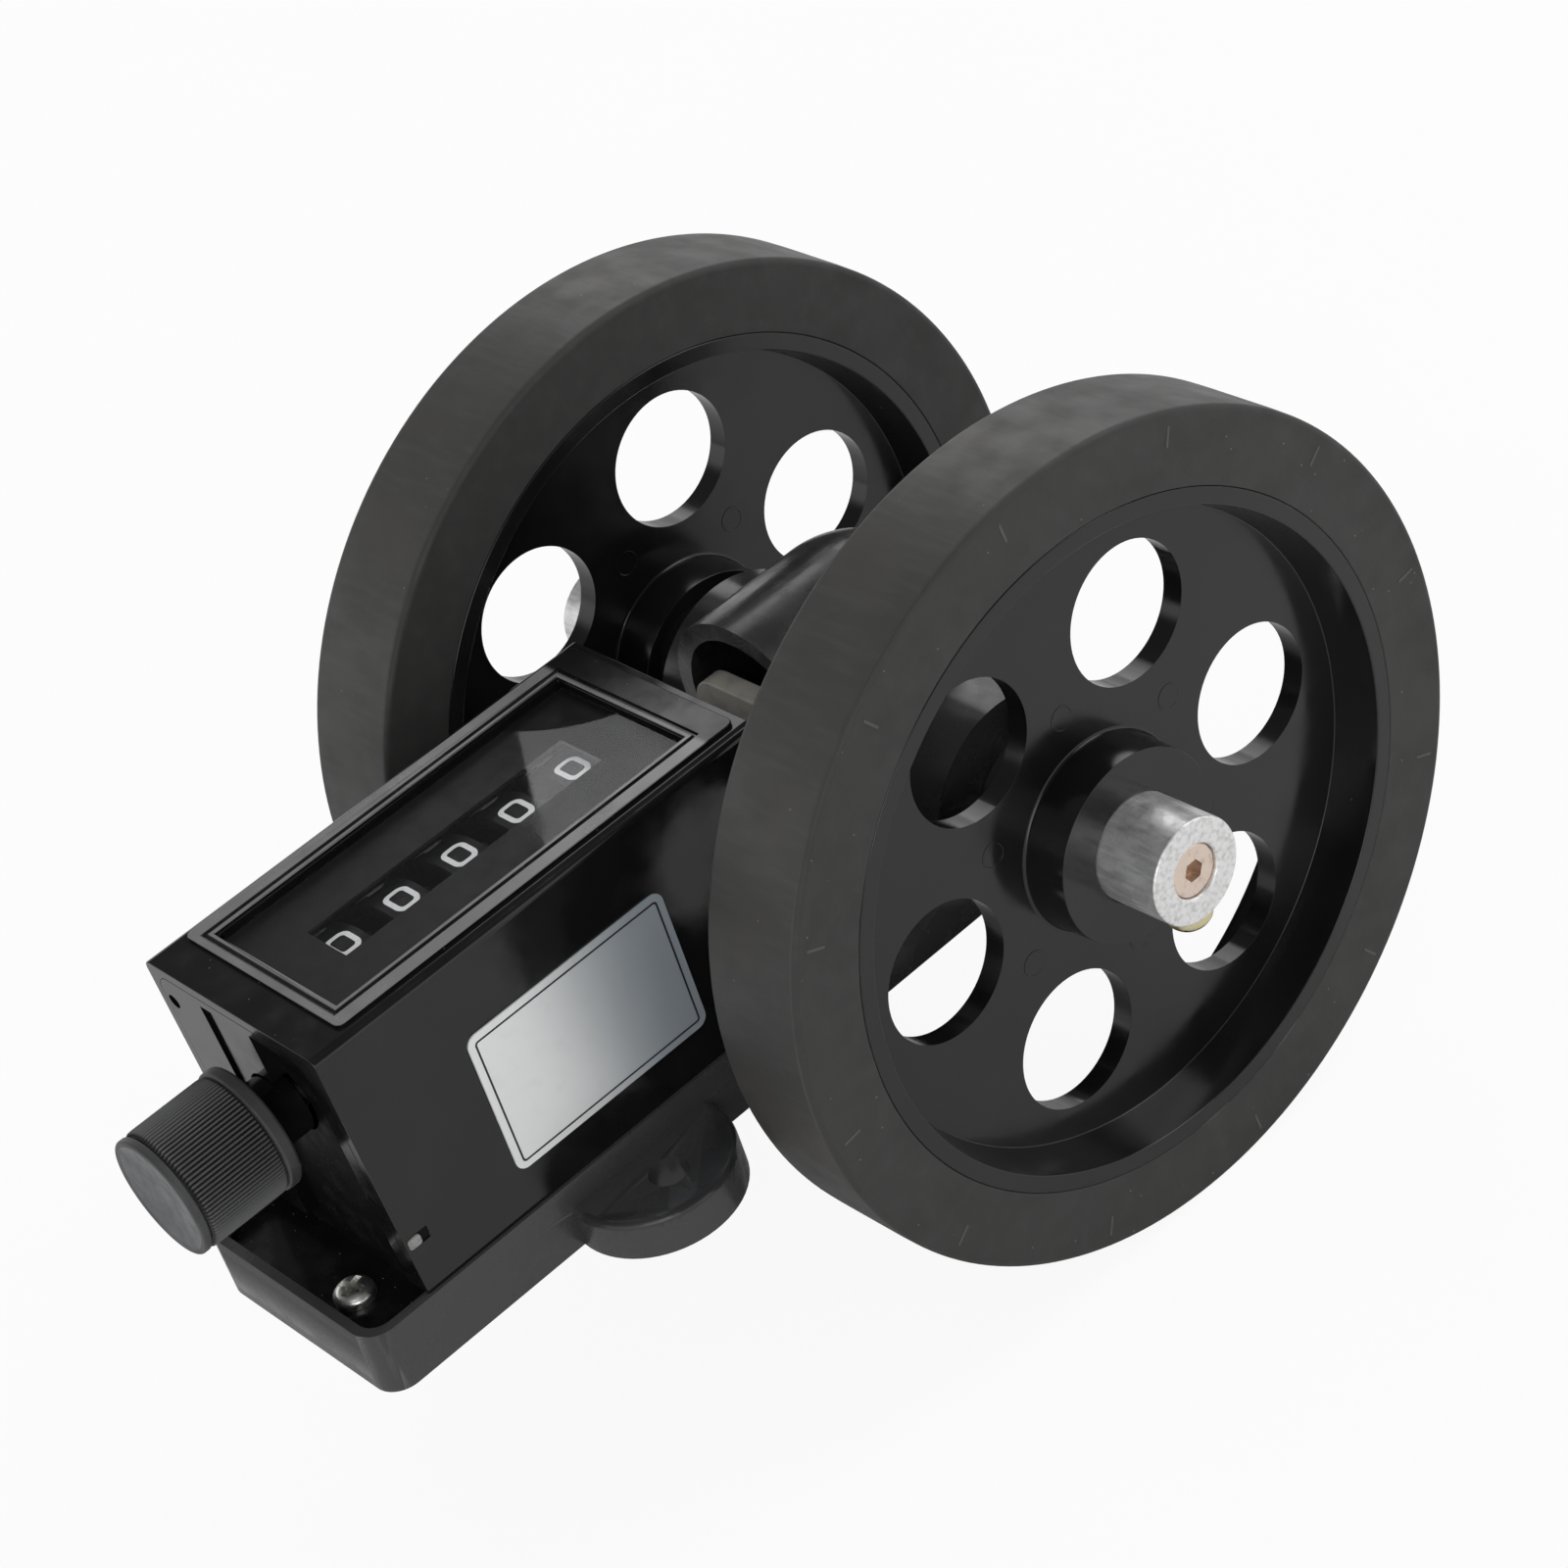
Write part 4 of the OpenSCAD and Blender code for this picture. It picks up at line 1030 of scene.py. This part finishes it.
class COUNTER_OT_wheels(Maker):
    """Turn both wheels and cut their lightening holes"""

    bl_idname = "counter.wheels"
    bl_label = "Wheels"

    def execute(self, context):
        size = sizes_of("wheel_sizes")
        middle = WHEEL_WIDTH / 2
        rim = size.tyre_radius - size.tread
        rim_inner = rim - size.rim_wall
        rim_draft, hub_draft, clearance, key_half = 1.2, 0.3, 0.02, 2.5
        web_end = rim_inner - rim_draft
        bore = sizes_of("axle_sizes").sleeve_radius + clearance

        def half_section(sign):
            """Corners from the tyre's seat round the open side to the bore."""
            face = middle + sign * middle
            web = middle + sign * size.web / 2
            key = middle + sign * key_half
            return [
                (rim + KEY_HEIGHT, key, 0.1), (rim, key, 0), (rim, face, 0.2),
                (rim_inner, face, 0.2), (web_end, web, 0.15), (size.hub_radius, web, 0.5),
                (size.hub_radius - hub_draft, face, 0.1), (bore, face, 0.25),
            ]

        corners = half_section(1) + half_section(-1)[::-1]
        tree = wheel_hole_tree()
        sides = (("near", size.near_turn), ("far", size.far_turn))
        for side, turn in sides:
            node = "wheel_" + side
            wheel = revolved(node + "_body", rounded(corners, 5), 144)
            run_tree(
                wheel, tree, holes=size.hole_count, hole_radius=size.hole_radius,
                hole_reach=size.hole_reach, turn=turn, depth=4 * WHEEL_WIDTH,
                material=finish_of("wheel_moulding"),
            )
            lay_on_axle(soften(wheel, 0.08, 2, 40), "tyre_" + side)
            fit(wheel, "axle_line", "wheel_moulding", "wheel_plastic", node)
        for side, turn in sides:
            for face in (1, -1):
                self.ejector_marks(side, turn, face, size)
        return {"FINISHED"}

    def ejector_marks(self, side, turn, face, size):
        """Faint round marks that the mould leaves on the web, between the holes."""
        radius, reach = 1.75, 17.6
        web = (WHEEL_WIDTH + face * size.web) / 2
        low, high = sorted((web - face * 0.05, web + face * 0.06))
        dish = (low + high) / 2 + face * 0.02
        mark = revolved("mark", rounded([
            (0, low, 0), (radius, low, 0), (radius, high, 0.05), (radius - 0.25, high, 0),
            (radius - 0.3, dish, 0), (0, dish, 0),
        ], 2), 24)
        mark.name = f"wheel_{side}_marks_{'out' if face > 0 else 'in'}"
        run_tree(
            mark, ring_of_copies_tree(), count=size.hole_count, reach=reach,
            turn=turn + math.pi / size.hole_count, material=finish_of("wheel_moulding"),
        )
        lay_on_axle(shade(mark), "tyre_" + side)
        fit(mark, "axle_line", "wheel_moulding", "wheel_plastic")


class COUNTER_OT_tyres(Maker):
    """Mould both tyres with round shoulders and plain index ticks"""

    bl_idname = "counter.tyres"
    bl_label = "Tyres"

    def execute(self, context):
        size = sizes_of("wheel_sizes")
        width = WHEEL_WIDTH
        crown, crown_end, crown_round, clearance, key_half = 0.06, 3, 4, 0.02, 2.52
        inner = size.tyre_radius - size.tread + clearance
        key = inner + KEY_HEIGHT
        key_low, key_high = width / 2 - key_half, width / 2 + key_half
        shoulder = size.tyre_radius - crown
        corners = [
            (inner, 0, 0.2), (shoulder, 0, size.shoulder),
            (size.tyre_radius, crown_end, crown_round),
            (size.tyre_radius, width - crown_end, crown_round),
            (shoulder, width, size.shoulder), (inner, width, 0.2), (inner, key_high, 0),
            (key, key_high, 0), (key, key_low, 0), (inner, key_low, 0),
        ]
        tread_start = size.tyre_radius - 2 * crown
        for side in ("near", "far"):
            node = "tyre_" + side
            tyre = shade(revolved(node + "_rubber", rounded(corners, 7), 192))
            lay_on_axle(tyre, node)
            fit(tyre, "axle_line", "tyre_rubber", "tyre_rubber", node)
            second_finish(
                tyre, "ground_tread",
                lambda at: math.hypot(at.y - AXLE.y, at.z - AXLE.z) > tread_start,
            )
            self.ticks(side, size)
        return {"FINISHED"}

    def ticks(self, side, size):
        """Short moulded index ticks round the outer side face."""
        half_long, half_wide, height = 1.3, 0.17, 0.05
        face = WHEEL_WIDTH if side == "near" else 0
        outline = rounded_box((-half_long, -half_wide), (half_long, half_wide), 0.12, 2)
        tick = prism("tick", outline, face - height, face + height)
        tick.name = "tyre_" + side + "_ticks"
        run_tree(
            tick, ring_of_copies_tree(), count=12, reach=size.tyre_radius - 3.2,
            turn=math.radians(7), material=finish_of("tyre_rubber"),
        )
        lay_on_axle(shade(tick), "tyre_" + side)
        fit(tick, "axle_line", "tyre_rubber", "tyre_rubber")


class COUNTER_OT_sleeves(Maker):
    """Turn the sleeves and fit their locking screws and clamp screws"""

    bl_idname = "counter.sleeves"
    bl_label = "Sleeves"

    def execute(self, context):
        size = sizes_of("axle_sizes")
        near = box_of("sleeve_near")
        start, end = near[0].x, near[1].x
        screw_face = box_of("end_screws")[1].x
        axle_end = box_of("axle")[1].x
        clamp_low = box_of("clamp_screws")[0].z
        clamp_x = box_of("clamp_screws")[1].x - size.clamp_head
        clamp_seat = AXLE.z - size.sleeve_radius
        head_height = clamp_seat - clamp_low + 1.2
        axle_bore, chamfer = 4.02, 0.35
        shank_r, shank_len = 1.5, 3.2
        socket_r = size.socket_width / 2 / math.cos(math.pi / 6)
        socket_depth = 2.5
        ends, clamps = [], []
        for side, direction, sign in (("near", ALONG_X, 1), ("far", ALONG_MINUS_X, -1)):
            node = "sleeve_" + side
            sleeve = revolved(node + "_turned", rounded([
                (axle_bore, start, 0.2), (size.sleeve_radius, start, 0.3),
                (size.sleeve_radius, end, chamfer), (size.bore_radius, end, chamfer),
                (size.bore_radius, axle_end, 0), (axle_bore, axle_end, 0),
            ], 3), 96)
            lay(sleeve, direction, (0, AXLE.y, AXLE.z))
            drill = prism("drill", polygon(shank_r + 0.02, 24), AXLE.z - 9, AXLE.z - 2)
            lay(drill, at=(sign * clamp_x, AXLE.y, 0))
            shade(cut(sleeve, drill))
            fit(sleeve, "axle_line", "turned_aluminium", "sleeve_aluminium", node)
            screw = revolved("end", rounded([
                (0, axle_end, 0), (size.screw_radius, axle_end, 0.2),
                (size.screw_radius, screw_face, 0.4), (0, screw_face, 0),
            ], 3), 64)
            socket = prism(
                "socket", polygon(socket_r, 6), screw_face - socket_depth, screw_face + 1
            )
            soften(cut(screw, socket), 0.1, 2, 40)
            ends.append(lay(screw, direction, (0, AXLE.y, AXLE.z)))
            clamp = pan_screw("clamp", size.clamp_head, head_height, shank_r, shank_len)
            clamps.append(lay(clamp, DOWNWARD, (sign * clamp_x, AXLE.y, clamp_seat)))
        fit(join("end_screws_hexagon", *ends), "axle_line", "copper_screw", "screw_zinc",
            "end_screws")
        fit(join("clamp_screws_plated", *clamps), "axle_line", "yellow_zinc", "screw_zinc",
            "clamp_screws")
        return {"FINISHED"}


class COUNTER_OT_casting(Maker):
    """Round the edges of the base and the gear case, and paint them"""

    bl_idname = "counter.casting"
    bl_label = "Base and gear case"

    def execute(self, context):
        for name, node, edge, finish, slot in (
            ("base_casting", "base", 0.35, "painted_casting", "black_casting"),
            ("gear_case_casting", "gear_case", 0.45, "painted_casting", "black_casting"),
            ("bridge_moulding", "bearing_bridge", 0.35, "cream_moulding", "bridge_plastic"),
        ):
            fit(soften(copy_of_node(name, node), edge), "housing", finish, slot, node)
        return {"FINISHED"}


class COUNTER_OT_cover(Maker):
    """Mould the cover and its front plate"""

    bl_idname = "counter.cover"
    bl_label = "Cover"

    def execute(self, context):
        cover = copy_of_node("cover_moulding", "cover")
        low, high = box_of("cover")
        self.lean(cover, low, high, 0.2)
        soften(cover, 0.22)
        fit(cover, "housing", "glossy_moulding", "cover_plastic", "cover")
        plate = copy_of_node("front_plate_moulding", "front_plate")
        self.shift_details(plate)
        self.lean(plate, low, high, 0.8)
        soften(plate, 0.08)
        fit(plate, "housing", "glossy_moulding", "cover_plastic", "front_plate")
        pocket_start = 1.62
        second_finish(plate, "pocket_moulding", lambda at: at.x > pocket_start)
        self.tabs(high)
        return {"FINISHED"}

    def shift_details(self, plate):
        """Narrows the seam between the plate's panels, and widens and moves its seal hole."""
        seam_x, seam_half, narrowed = -7.0, 0.15, 0.06
        hole, hole_reach, wider, moved = Vector((-13.3, 39.2)), 0.8, 1.4, Vector((-0.7, 1.5))
        for vert in plate.data.vertices:
            off = vert.co.x - seam_x
            if abs(abs(off) - seam_half) < 0.03:
                vert.co.x = seam_x + math.copysign(narrowed, off)
        for vert in plate.data.vertices:
            off = Vector((vert.co.x, vert.co.z)) - hole
            if off.length < hole_reach:
                vert.co.x = hole.x + moved.x + off.x * wider
                vert.co.z = hole.y + moved.y + off.y * wider

    def lean(self, piece, low, high, reach):
        """The cover's mouth and the plate in it lean forward towards the top."""
        forward = 1.3
        for vert in piece.data.vertices:
            if vert.co.y < low.y + reach:
                vert.co.y -= forward * (vert.co.z - low.z) / (high.z - low.z)

    def tabs(self, high):
        """Pale tips of the plate's snap tabs, which show in the cover's side slots."""
        reach = 0.42
        outline = rounded_box((-31.0, 15.9), (-29.2, 17.3), 0.35, 3)
        made = []
        for side in (-1, 1):
            tip = prism("tab", outline, min(0, side * reach), max(0, side * reach))
            made.append(soften(lay(tip, ALONG_X, (side * (high.x - 0.2), 0, 0)), 0.1, 2))
        fit(join("snap_tab_tips", *made), "housing", "tab_grey", "cover_plastic")


class COUNTER_OT_window(Maker):
    """Fit the bezel, the glass and the printed mask"""

    bl_idname = "counter.window"
    bl_label = "Window"

    def execute(self, context):
        low, high = GLASS_BOX
        bezel = soften(copy_of_node("bezel_moulding", "window_bezel"), 0.12)
        fit(bezel, "housing", "bezel_bands", "cover_plastic", "window_bezel")
        second_finish(bezel, "pocket_moulding", lambda at: at.y > high.y + 0.6)
        pane = prism("glass_pane", rounded_box(low[:2], high[:2], 0.3, 3), low.z, high.z)
        fit(soften(pane, 0.08, 2), "housing", "clear_glass", "window_glass", "window_glass")
        mask = soften(copy_of_node("mask_sheet", "window_mask"), 0.05, 2)
        fit(mask, "housing", "printed_mask", "mask_print", "window_mask")
        return {"FINISHED"}


class COUNTER_OT_plate(Maker):
    """Stick the bare silver plate with its printed border on the cover's side"""

    bl_idname = "counter.plate"
    bl_label = "Side plate"

    def execute(self, context):
        low, high = PLATE_BOX
        corner, line = 1.5, 0.26
        inset = sizes_of("counter_sizes").border_inset

        def outline(d):
            """The plate's outline, drawn in by d from its edge."""
            radius = max(corner - d, 0.35)
            return rounded_box((low.y + d, low.z + d), (high.y - d, high.z - d), radius)

        sheet = prism("plate_foil", outline(0), low.x, high.x)
        lay(soften(sheet, 0.08, 2), ALONG_X)
        fit(sheet, "housing", "silver_plate", "blank_plate", "side_plate")
        border = ring_prism(
            "plate_border", outline(inset), outline(inset + line), high.x - 0.01, high.x + 0.012
        )
        fit(lay(border, ALONG_X), "housing", "black_print", "blank_plate")
        return {"FINISHED"}


class COUNTER_OT_drums(Maker):
    """Print the figures on the five number drums"""

    bl_idname = "counter.drums"
    bl_label = "Number drums"

    def execute(self, context):
        size = sizes_of("counter_sizes")
        last_drum, pitch = 19.1, 8.85
        for step, name in enumerate(DRUMS):
            place = last_drum - pitch * (len(DRUMS) - 1 - step)
            middle = Vector((0, place, KNOB_AXIS.z))
            figures = shade(figures_on_drum("figures_" + name, middle, size))
            fit(figures, name + "_drum", "white_print", "drum_plastic")
        return {"FINISHED"}


class COUNTER_OT_knob(Maker):
    """Turn the reset knob, its knurled band and its dished disc"""

    bl_idname = "counter.knob"
    bl_label = "Reset knob"

    def execute(self, context):
        size = sizes_of("knob_sizes")
        low, high = KNOB_BOX
        front = -low.y
        back = front - size.groove - size.knurled - size.skirt
        neck_end = -high.y
        knurl_start = back + size.skirt
        knurl_end = knurl_start + size.knurled
        skirt_r = (high.x - low.x) / 2
        core = size.radius - size.rib_depth - 0.05
        end_r, neck_r, bore_r, bore_depth = size.radius - 0.7, 4.4, 2.02, 3
        body = revolved("knob_body", rounded([
            (bore_r, neck_end, 0.1), (neck_r, neck_end, 0.2), (neck_r, back, 0.2),
            (skirt_r, back, 0.5), (skirt_r, knurl_start, 0.35), (core, knurl_start + 0.1, 0.1),
            (core, knurl_end, 0.2), (end_r, knurl_end, 0.1), (end_r, front, 0), (0, front, 0),
            (0, front - bore_depth, 0), (bore_r, front - bore_depth, 0),
        ], 4), 128)
        lay(shade(body), TO_FRONT, (KNOB_AXIS.x, 0, KNOB_AXIS.z))
        fit(body, "reset", "satin_knob", "knob_plastic", "reset_knob")
        second_finish(body, "glossy_moulding", lambda at: at.y > 0.1 - back)

        ribs = prism("knob_knurl", rounded_box((-1, -1), (1, 1), 0.2, 1), -1, 1)
        run_tree(
            ribs, knurl_tree(), ribs=size.ribs, radius=size.radius, rib_depth=size.rib_depth,
            length=size.knurled, run_out=0.5, material=finish_of("knurled_knob"),
        )
        ribs.data.shade_smooth()
        ribs.data.set_sharp_from_angle(angle=SMOOTH_ANGLE)
        lay(ribs, TO_FRONT, (KNOB_AXIS.x, -(knurl_start + knurl_end) / 2, KNOB_AXIS.z))
        fit(ribs, "reset", "knurled_knob", "knob_plastic")
        self.disc(front)
        return {"FINISHED"}

    def disc(self, front):
        """The dished disc in the knob's end, inside a narrow black lip."""
        cap_low, cap_high = box_of("knob_cap")
        face = -cap_low.y
        radius = (cap_high.x - cap_low.x) / 2
        dish_r, dish_depth, lip, rings = 40.0, 0.65, 0.8, 8
        edge = radius - lip
        dish = [edge * k / rings for k in range(rings - 1, -1, -1)]
        outline = rounded([
            (0, front, 0), (radius, front, 0.15), (radius, face, 0.3), (edge, face, 0.25),
            (edge - 0.15, face - 0.1, 0.1),
        ] + [(r, face - dish_depth + r * r / (2 * dish_r), 0) for r in dish], 4)
        disc = shade(revolved("knob_disc_turned", outline, 96))
        lay(disc, TO_FRONT, (KNOB_AXIS.x, 0, KNOB_AXIS.z))
        fit(disc, "reset", "knob_disc", "knob_face", "knob_cap")
        second_finish(
            disc, "satin_knob",
            lambda at: math.hypot(at.x - KNOB_AXIS.x, at.z - KNOB_AXIS.z) > edge + 0.12,
        )


class COUNTER_OT_screws(Maker):
    """Set the two pan-head screws that hold the chassis down"""

    bl_idname = "counter.screws"
    bl_label = "Chassis screws"

    def execute(self, context):
        low, high = box_of("chassis_screws")
        head_r, head_h, shank_r = 2.6, 1.9, 1.5
        seat = high.z - head_h
        shelf = Vector((high.x - head_r, low.y + head_r, seat))
        rear = Vector((low.x + head_r, high.y - head_r, seat))
        screw = pan_screw("screw", head_r, head_h, shank_r, seat - low.z)
        places = add_object("chassis_screws_plated", bpy.data.meshes.new("places"))
        places.data.from_pydata([shelf, rear], [], [])
        run_tree(
            places, screw_places_tree(), screw=screw, turn=math.radians(20),
            turn_step=math.radians(31), material=finish_of("bright_plating"),
        )
        bpy.data.objects.remove(screw)
        fit(places, "housing", "bright_plating", "screw_nickel", "chassis_screws")
        return {"FINISHED"}


class COUNTER_OT_works(Maker):
    """Give the shafts, gears, bushes and drums inside their finishes"""

    bl_idname = "counter.works"
    bl_label = "Works"

    finishes = {
        "shelf_paint": ("chassis",),
        "oiled_bronze": ("drum_shaft_bushes", "drive_shaft_bushes", "axle_bushes"),
        "ground_steel": ("pinion_shaft", "axle", "drive_shaft", "drum_shaft"),
        "bright_plating": ("case_screws",),
        "cut_brass": ("axle_gear", "drive_gear", "reduction_pinion"),
        "natural_nylon": ("reduction_gear", "transfer_pinion_1", "transfer_pinion_2",
                          "transfer_pinion_3", "transfer_pinion_4"),
        "matte_drum": tuple("drum_" + name for name in DRUMS),
    }

    def execute(self, context):
        for finish, nodes in self.finishes.items():
            for node in nodes:
                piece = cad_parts[node]
                piece.data.materials.clear()
                piece.data.materials.append(finish_of(finish))
        return {"FINISHED"}


class COUNTER_OT_stage(Maker):
    """Lay the pale floor, set the lamps and place the camera"""

    bl_idname = "counter.stage"
    bl_label = "Stage"

    def execute(self, context):
        scene = context.scene
        size = scene.stage_sizes
        scene.view_settings.view_transform = "Standard"
        self.camera(scene, size)
        self.world(scene, size)
        self.lamps(size)
        self.floor()
        return {"FINISHED"}

    def camera(self, scene, size):
        right = Vector((0.6501, 0.7124, -0.2645))
        up = Vector((-0.3035, 0.5625, 0.7690))
        back = Vector((0.6966, -0.4197, 0.5819))
        stand = Vector((358.63, -169.09, 320.46)) * MM
        data = bpy.data.cameras.new("camera")
        data.lens = size.lens
        data.sensor_width = 36
        data.shift_x = -0.00604
        data.shift_y = -0.00102
        data.clip_start = 0.01
        camera = bpy.data.objects.new("camera", data)
        turned = Matrix((right, up, back)).transposed().to_4x4()
        camera.matrix_world = Matrix.Translation(stand) @ turned
        scene.collection.objects.link(camera)
        scene.camera = camera

    def world(self, scene, size):
        """White to the eye and in reflections near the horizon, and an even soft fill."""
        world = bpy.data.worlds.new("studio")
        scene.world = world
        world.use_nodes = True
        world.node_tree.nodes.clear()

        def node(kind, sources=None, **settings):
            return add_node(world.node_tree, kind, sources, **settings)

        def shader(kind, sources):
            return node(kind, sources).outputs[0]

        path = node("ShaderNodeLightPath").outputs
        mirror = node("ShaderNodeMath", {
            0: path["Is Glossy Ray"], 1: path["Is Transmission Ray"],
        }, operation="MAXIMUM")
        direct = node("ShaderNodeMath", {
            0: path["Diffuse Depth"], 1: 0.5,
        }, operation="LESS_THAN")
        seen = node("ShaderNodeMath", {
            0: mirror.outputs[0], 1: direct.outputs[0],
        }, operation="MULTIPLY")
        direction = node("ShaderNodeTexCoord").outputs["Generated"]
        height = node("ShaderNodeSeparateXYZ", {"Vector": direction}).outputs["Z"]
        ceiling = node("ShaderNodeMapRange", {
            "Value": height, "From Min": 0.3, "From Max": 0.48, "To Min": 1.0, "To Max": 0.12,
        }, interpolation_type="SMOOTHSTEP")
        even, mirrored, white = (
            shader("ShaderNodeBackground", {"Color": WHITE, "Strength": strength})
            for strength in (size.fill, ceiling.outputs[0], 1.0)
        )
        lit = shader("ShaderNodeMixShader", {0: seen.outputs[0], 1: even, 2: mirrored})
        whole = shader("ShaderNodeMixShader", {0: path["Is Camera Ray"], 1: lit, 2: white})
        node("ShaderNodeOutputWorld", {"Surface": whole})

    def lamps(self, size):
        """Soft lamps: overhead, beside the camera, and behind the object for its highlights."""
        target = Vector((0, 30, 20)) * MM
        for name, place, width, power in (
            ("overhead", (0.30, 0.75, 0.80), 0.55, size.key),
            ("side", (0.95, -0.75, 0.55), 0.8, size.key * 1.1),
            ("behind", (-0.767, 0.709, 0.72), 0.55, size.key * 0.55),
        ):
            data = bpy.data.lights.new(name, "AREA")
            data.shape = "SQUARE"
            data.size = width
            data.energy = power
            lamp = bpy.data.objects.new(name, data)
            lamp.location = place
            lamp.rotation_mode = "QUATERNION"
            lamp.rotation_quaternion = (target - lamp.location).to_track_quat("-Z", "Y")
            bpy.context.scene.collection.objects.link(lamp)

    def floor(self):
        """Matte white floor; to the eye it is lifted towards white, with the shadow kept."""
        half, lift = 3.0, 0.92
        corners = ((-half, -half), (half, -half), (half, half), (-half, half))
        mesh = bpy.data.meshes.new("floor")
        mesh.from_pydata([(x, y, FLOOR_LEVEL) for x, y in corners], [], [(0, 1, 2, 3)])
        floor = add_object("floor", mesh)
        made = Finish("floor_paper", roughness=0.9, specular_ior_level=0.1)
        made.colours(grey(0.9), (cloudy(60, 3, 0.4, 0.7)(made), grey(0.93)))
        camera_ray = made.node("ShaderNodeLightPath").outputs["Is Camera Ray"]
        mix = made.node("ShaderNodeMixShader", {
            0: made.times(camera_ray, lift), 1: made.shader.outputs[0],
            2: made.node("ShaderNodeEmission").outputs[0],
        })
        out = next(node for node in made.tree.nodes if node.type == "OUTPUT_MATERIAL")
        made.tree.links.new(mix.outputs[0], out.inputs[0])
        mesh.materials.append(made.material)


class COUNTER_PT_panel(bpy.types.Panel):
    """Steps that make the counter, in their order"""

    bl_label = "Length Counter"
    bl_space_type = "VIEW_3D"
    bl_region_type = "UI"
    bl_category = "Length Counter"

    def draw(self, context):
        for step in STEPS:
            self.layout.operator(step.bl_idname)
        for key in SETTINGS:
            group = getattr(context.scene, key)
            box = self.layout.box()
            for name in group.__annotations__:
                box.prop(group, name)


SETTINGS = {
    "wheel_sizes": WheelSizes,
    "axle_sizes": AxleSizes,
    "knob_sizes": KnobSizes,
    "counter_sizes": CounterSizes,
    "counter_colours": CounterColours,
    "stage_sizes": StageSizes,
}
STEPS = (
    COUNTER_OT_stage, COUNTER_OT_wheels, COUNTER_OT_tyres, COUNTER_OT_sleeves,
    COUNTER_OT_casting, COUNTER_OT_cover, COUNTER_OT_window, COUNTER_OT_plate,
    COUNTER_OT_drums, COUNTER_OT_knob, COUNTER_OT_screws, COUNTER_OT_works,
)


def register():
    for group in SETTINGS.values():
        bpy.utils.register_class(group)
    for step in STEPS:
        bpy.utils.register_class(step)
    bpy.utils.register_class(COUNTER_PT_panel)
    for key, group in SETTINGS.items():
        setattr(bpy.types.Scene, key, PointerProperty(type=group))


def unregister():
    for key in SETTINGS:
        delattr(bpy.types.Scene, key)
    bpy.utils.unregister_class(COUNTER_PT_panel)
    for step in reversed(STEPS):
        bpy.utils.unregister_class(step)
    for group in reversed(SETTINGS.values()):
        bpy.utils.unregister_class(group)


def main():
    register()
    for step in STEPS:
        group, name = step.bl_idname.split(".")
        getattr(getattr(bpy.ops, group), name)()


if __name__ == "__main__":
    main()
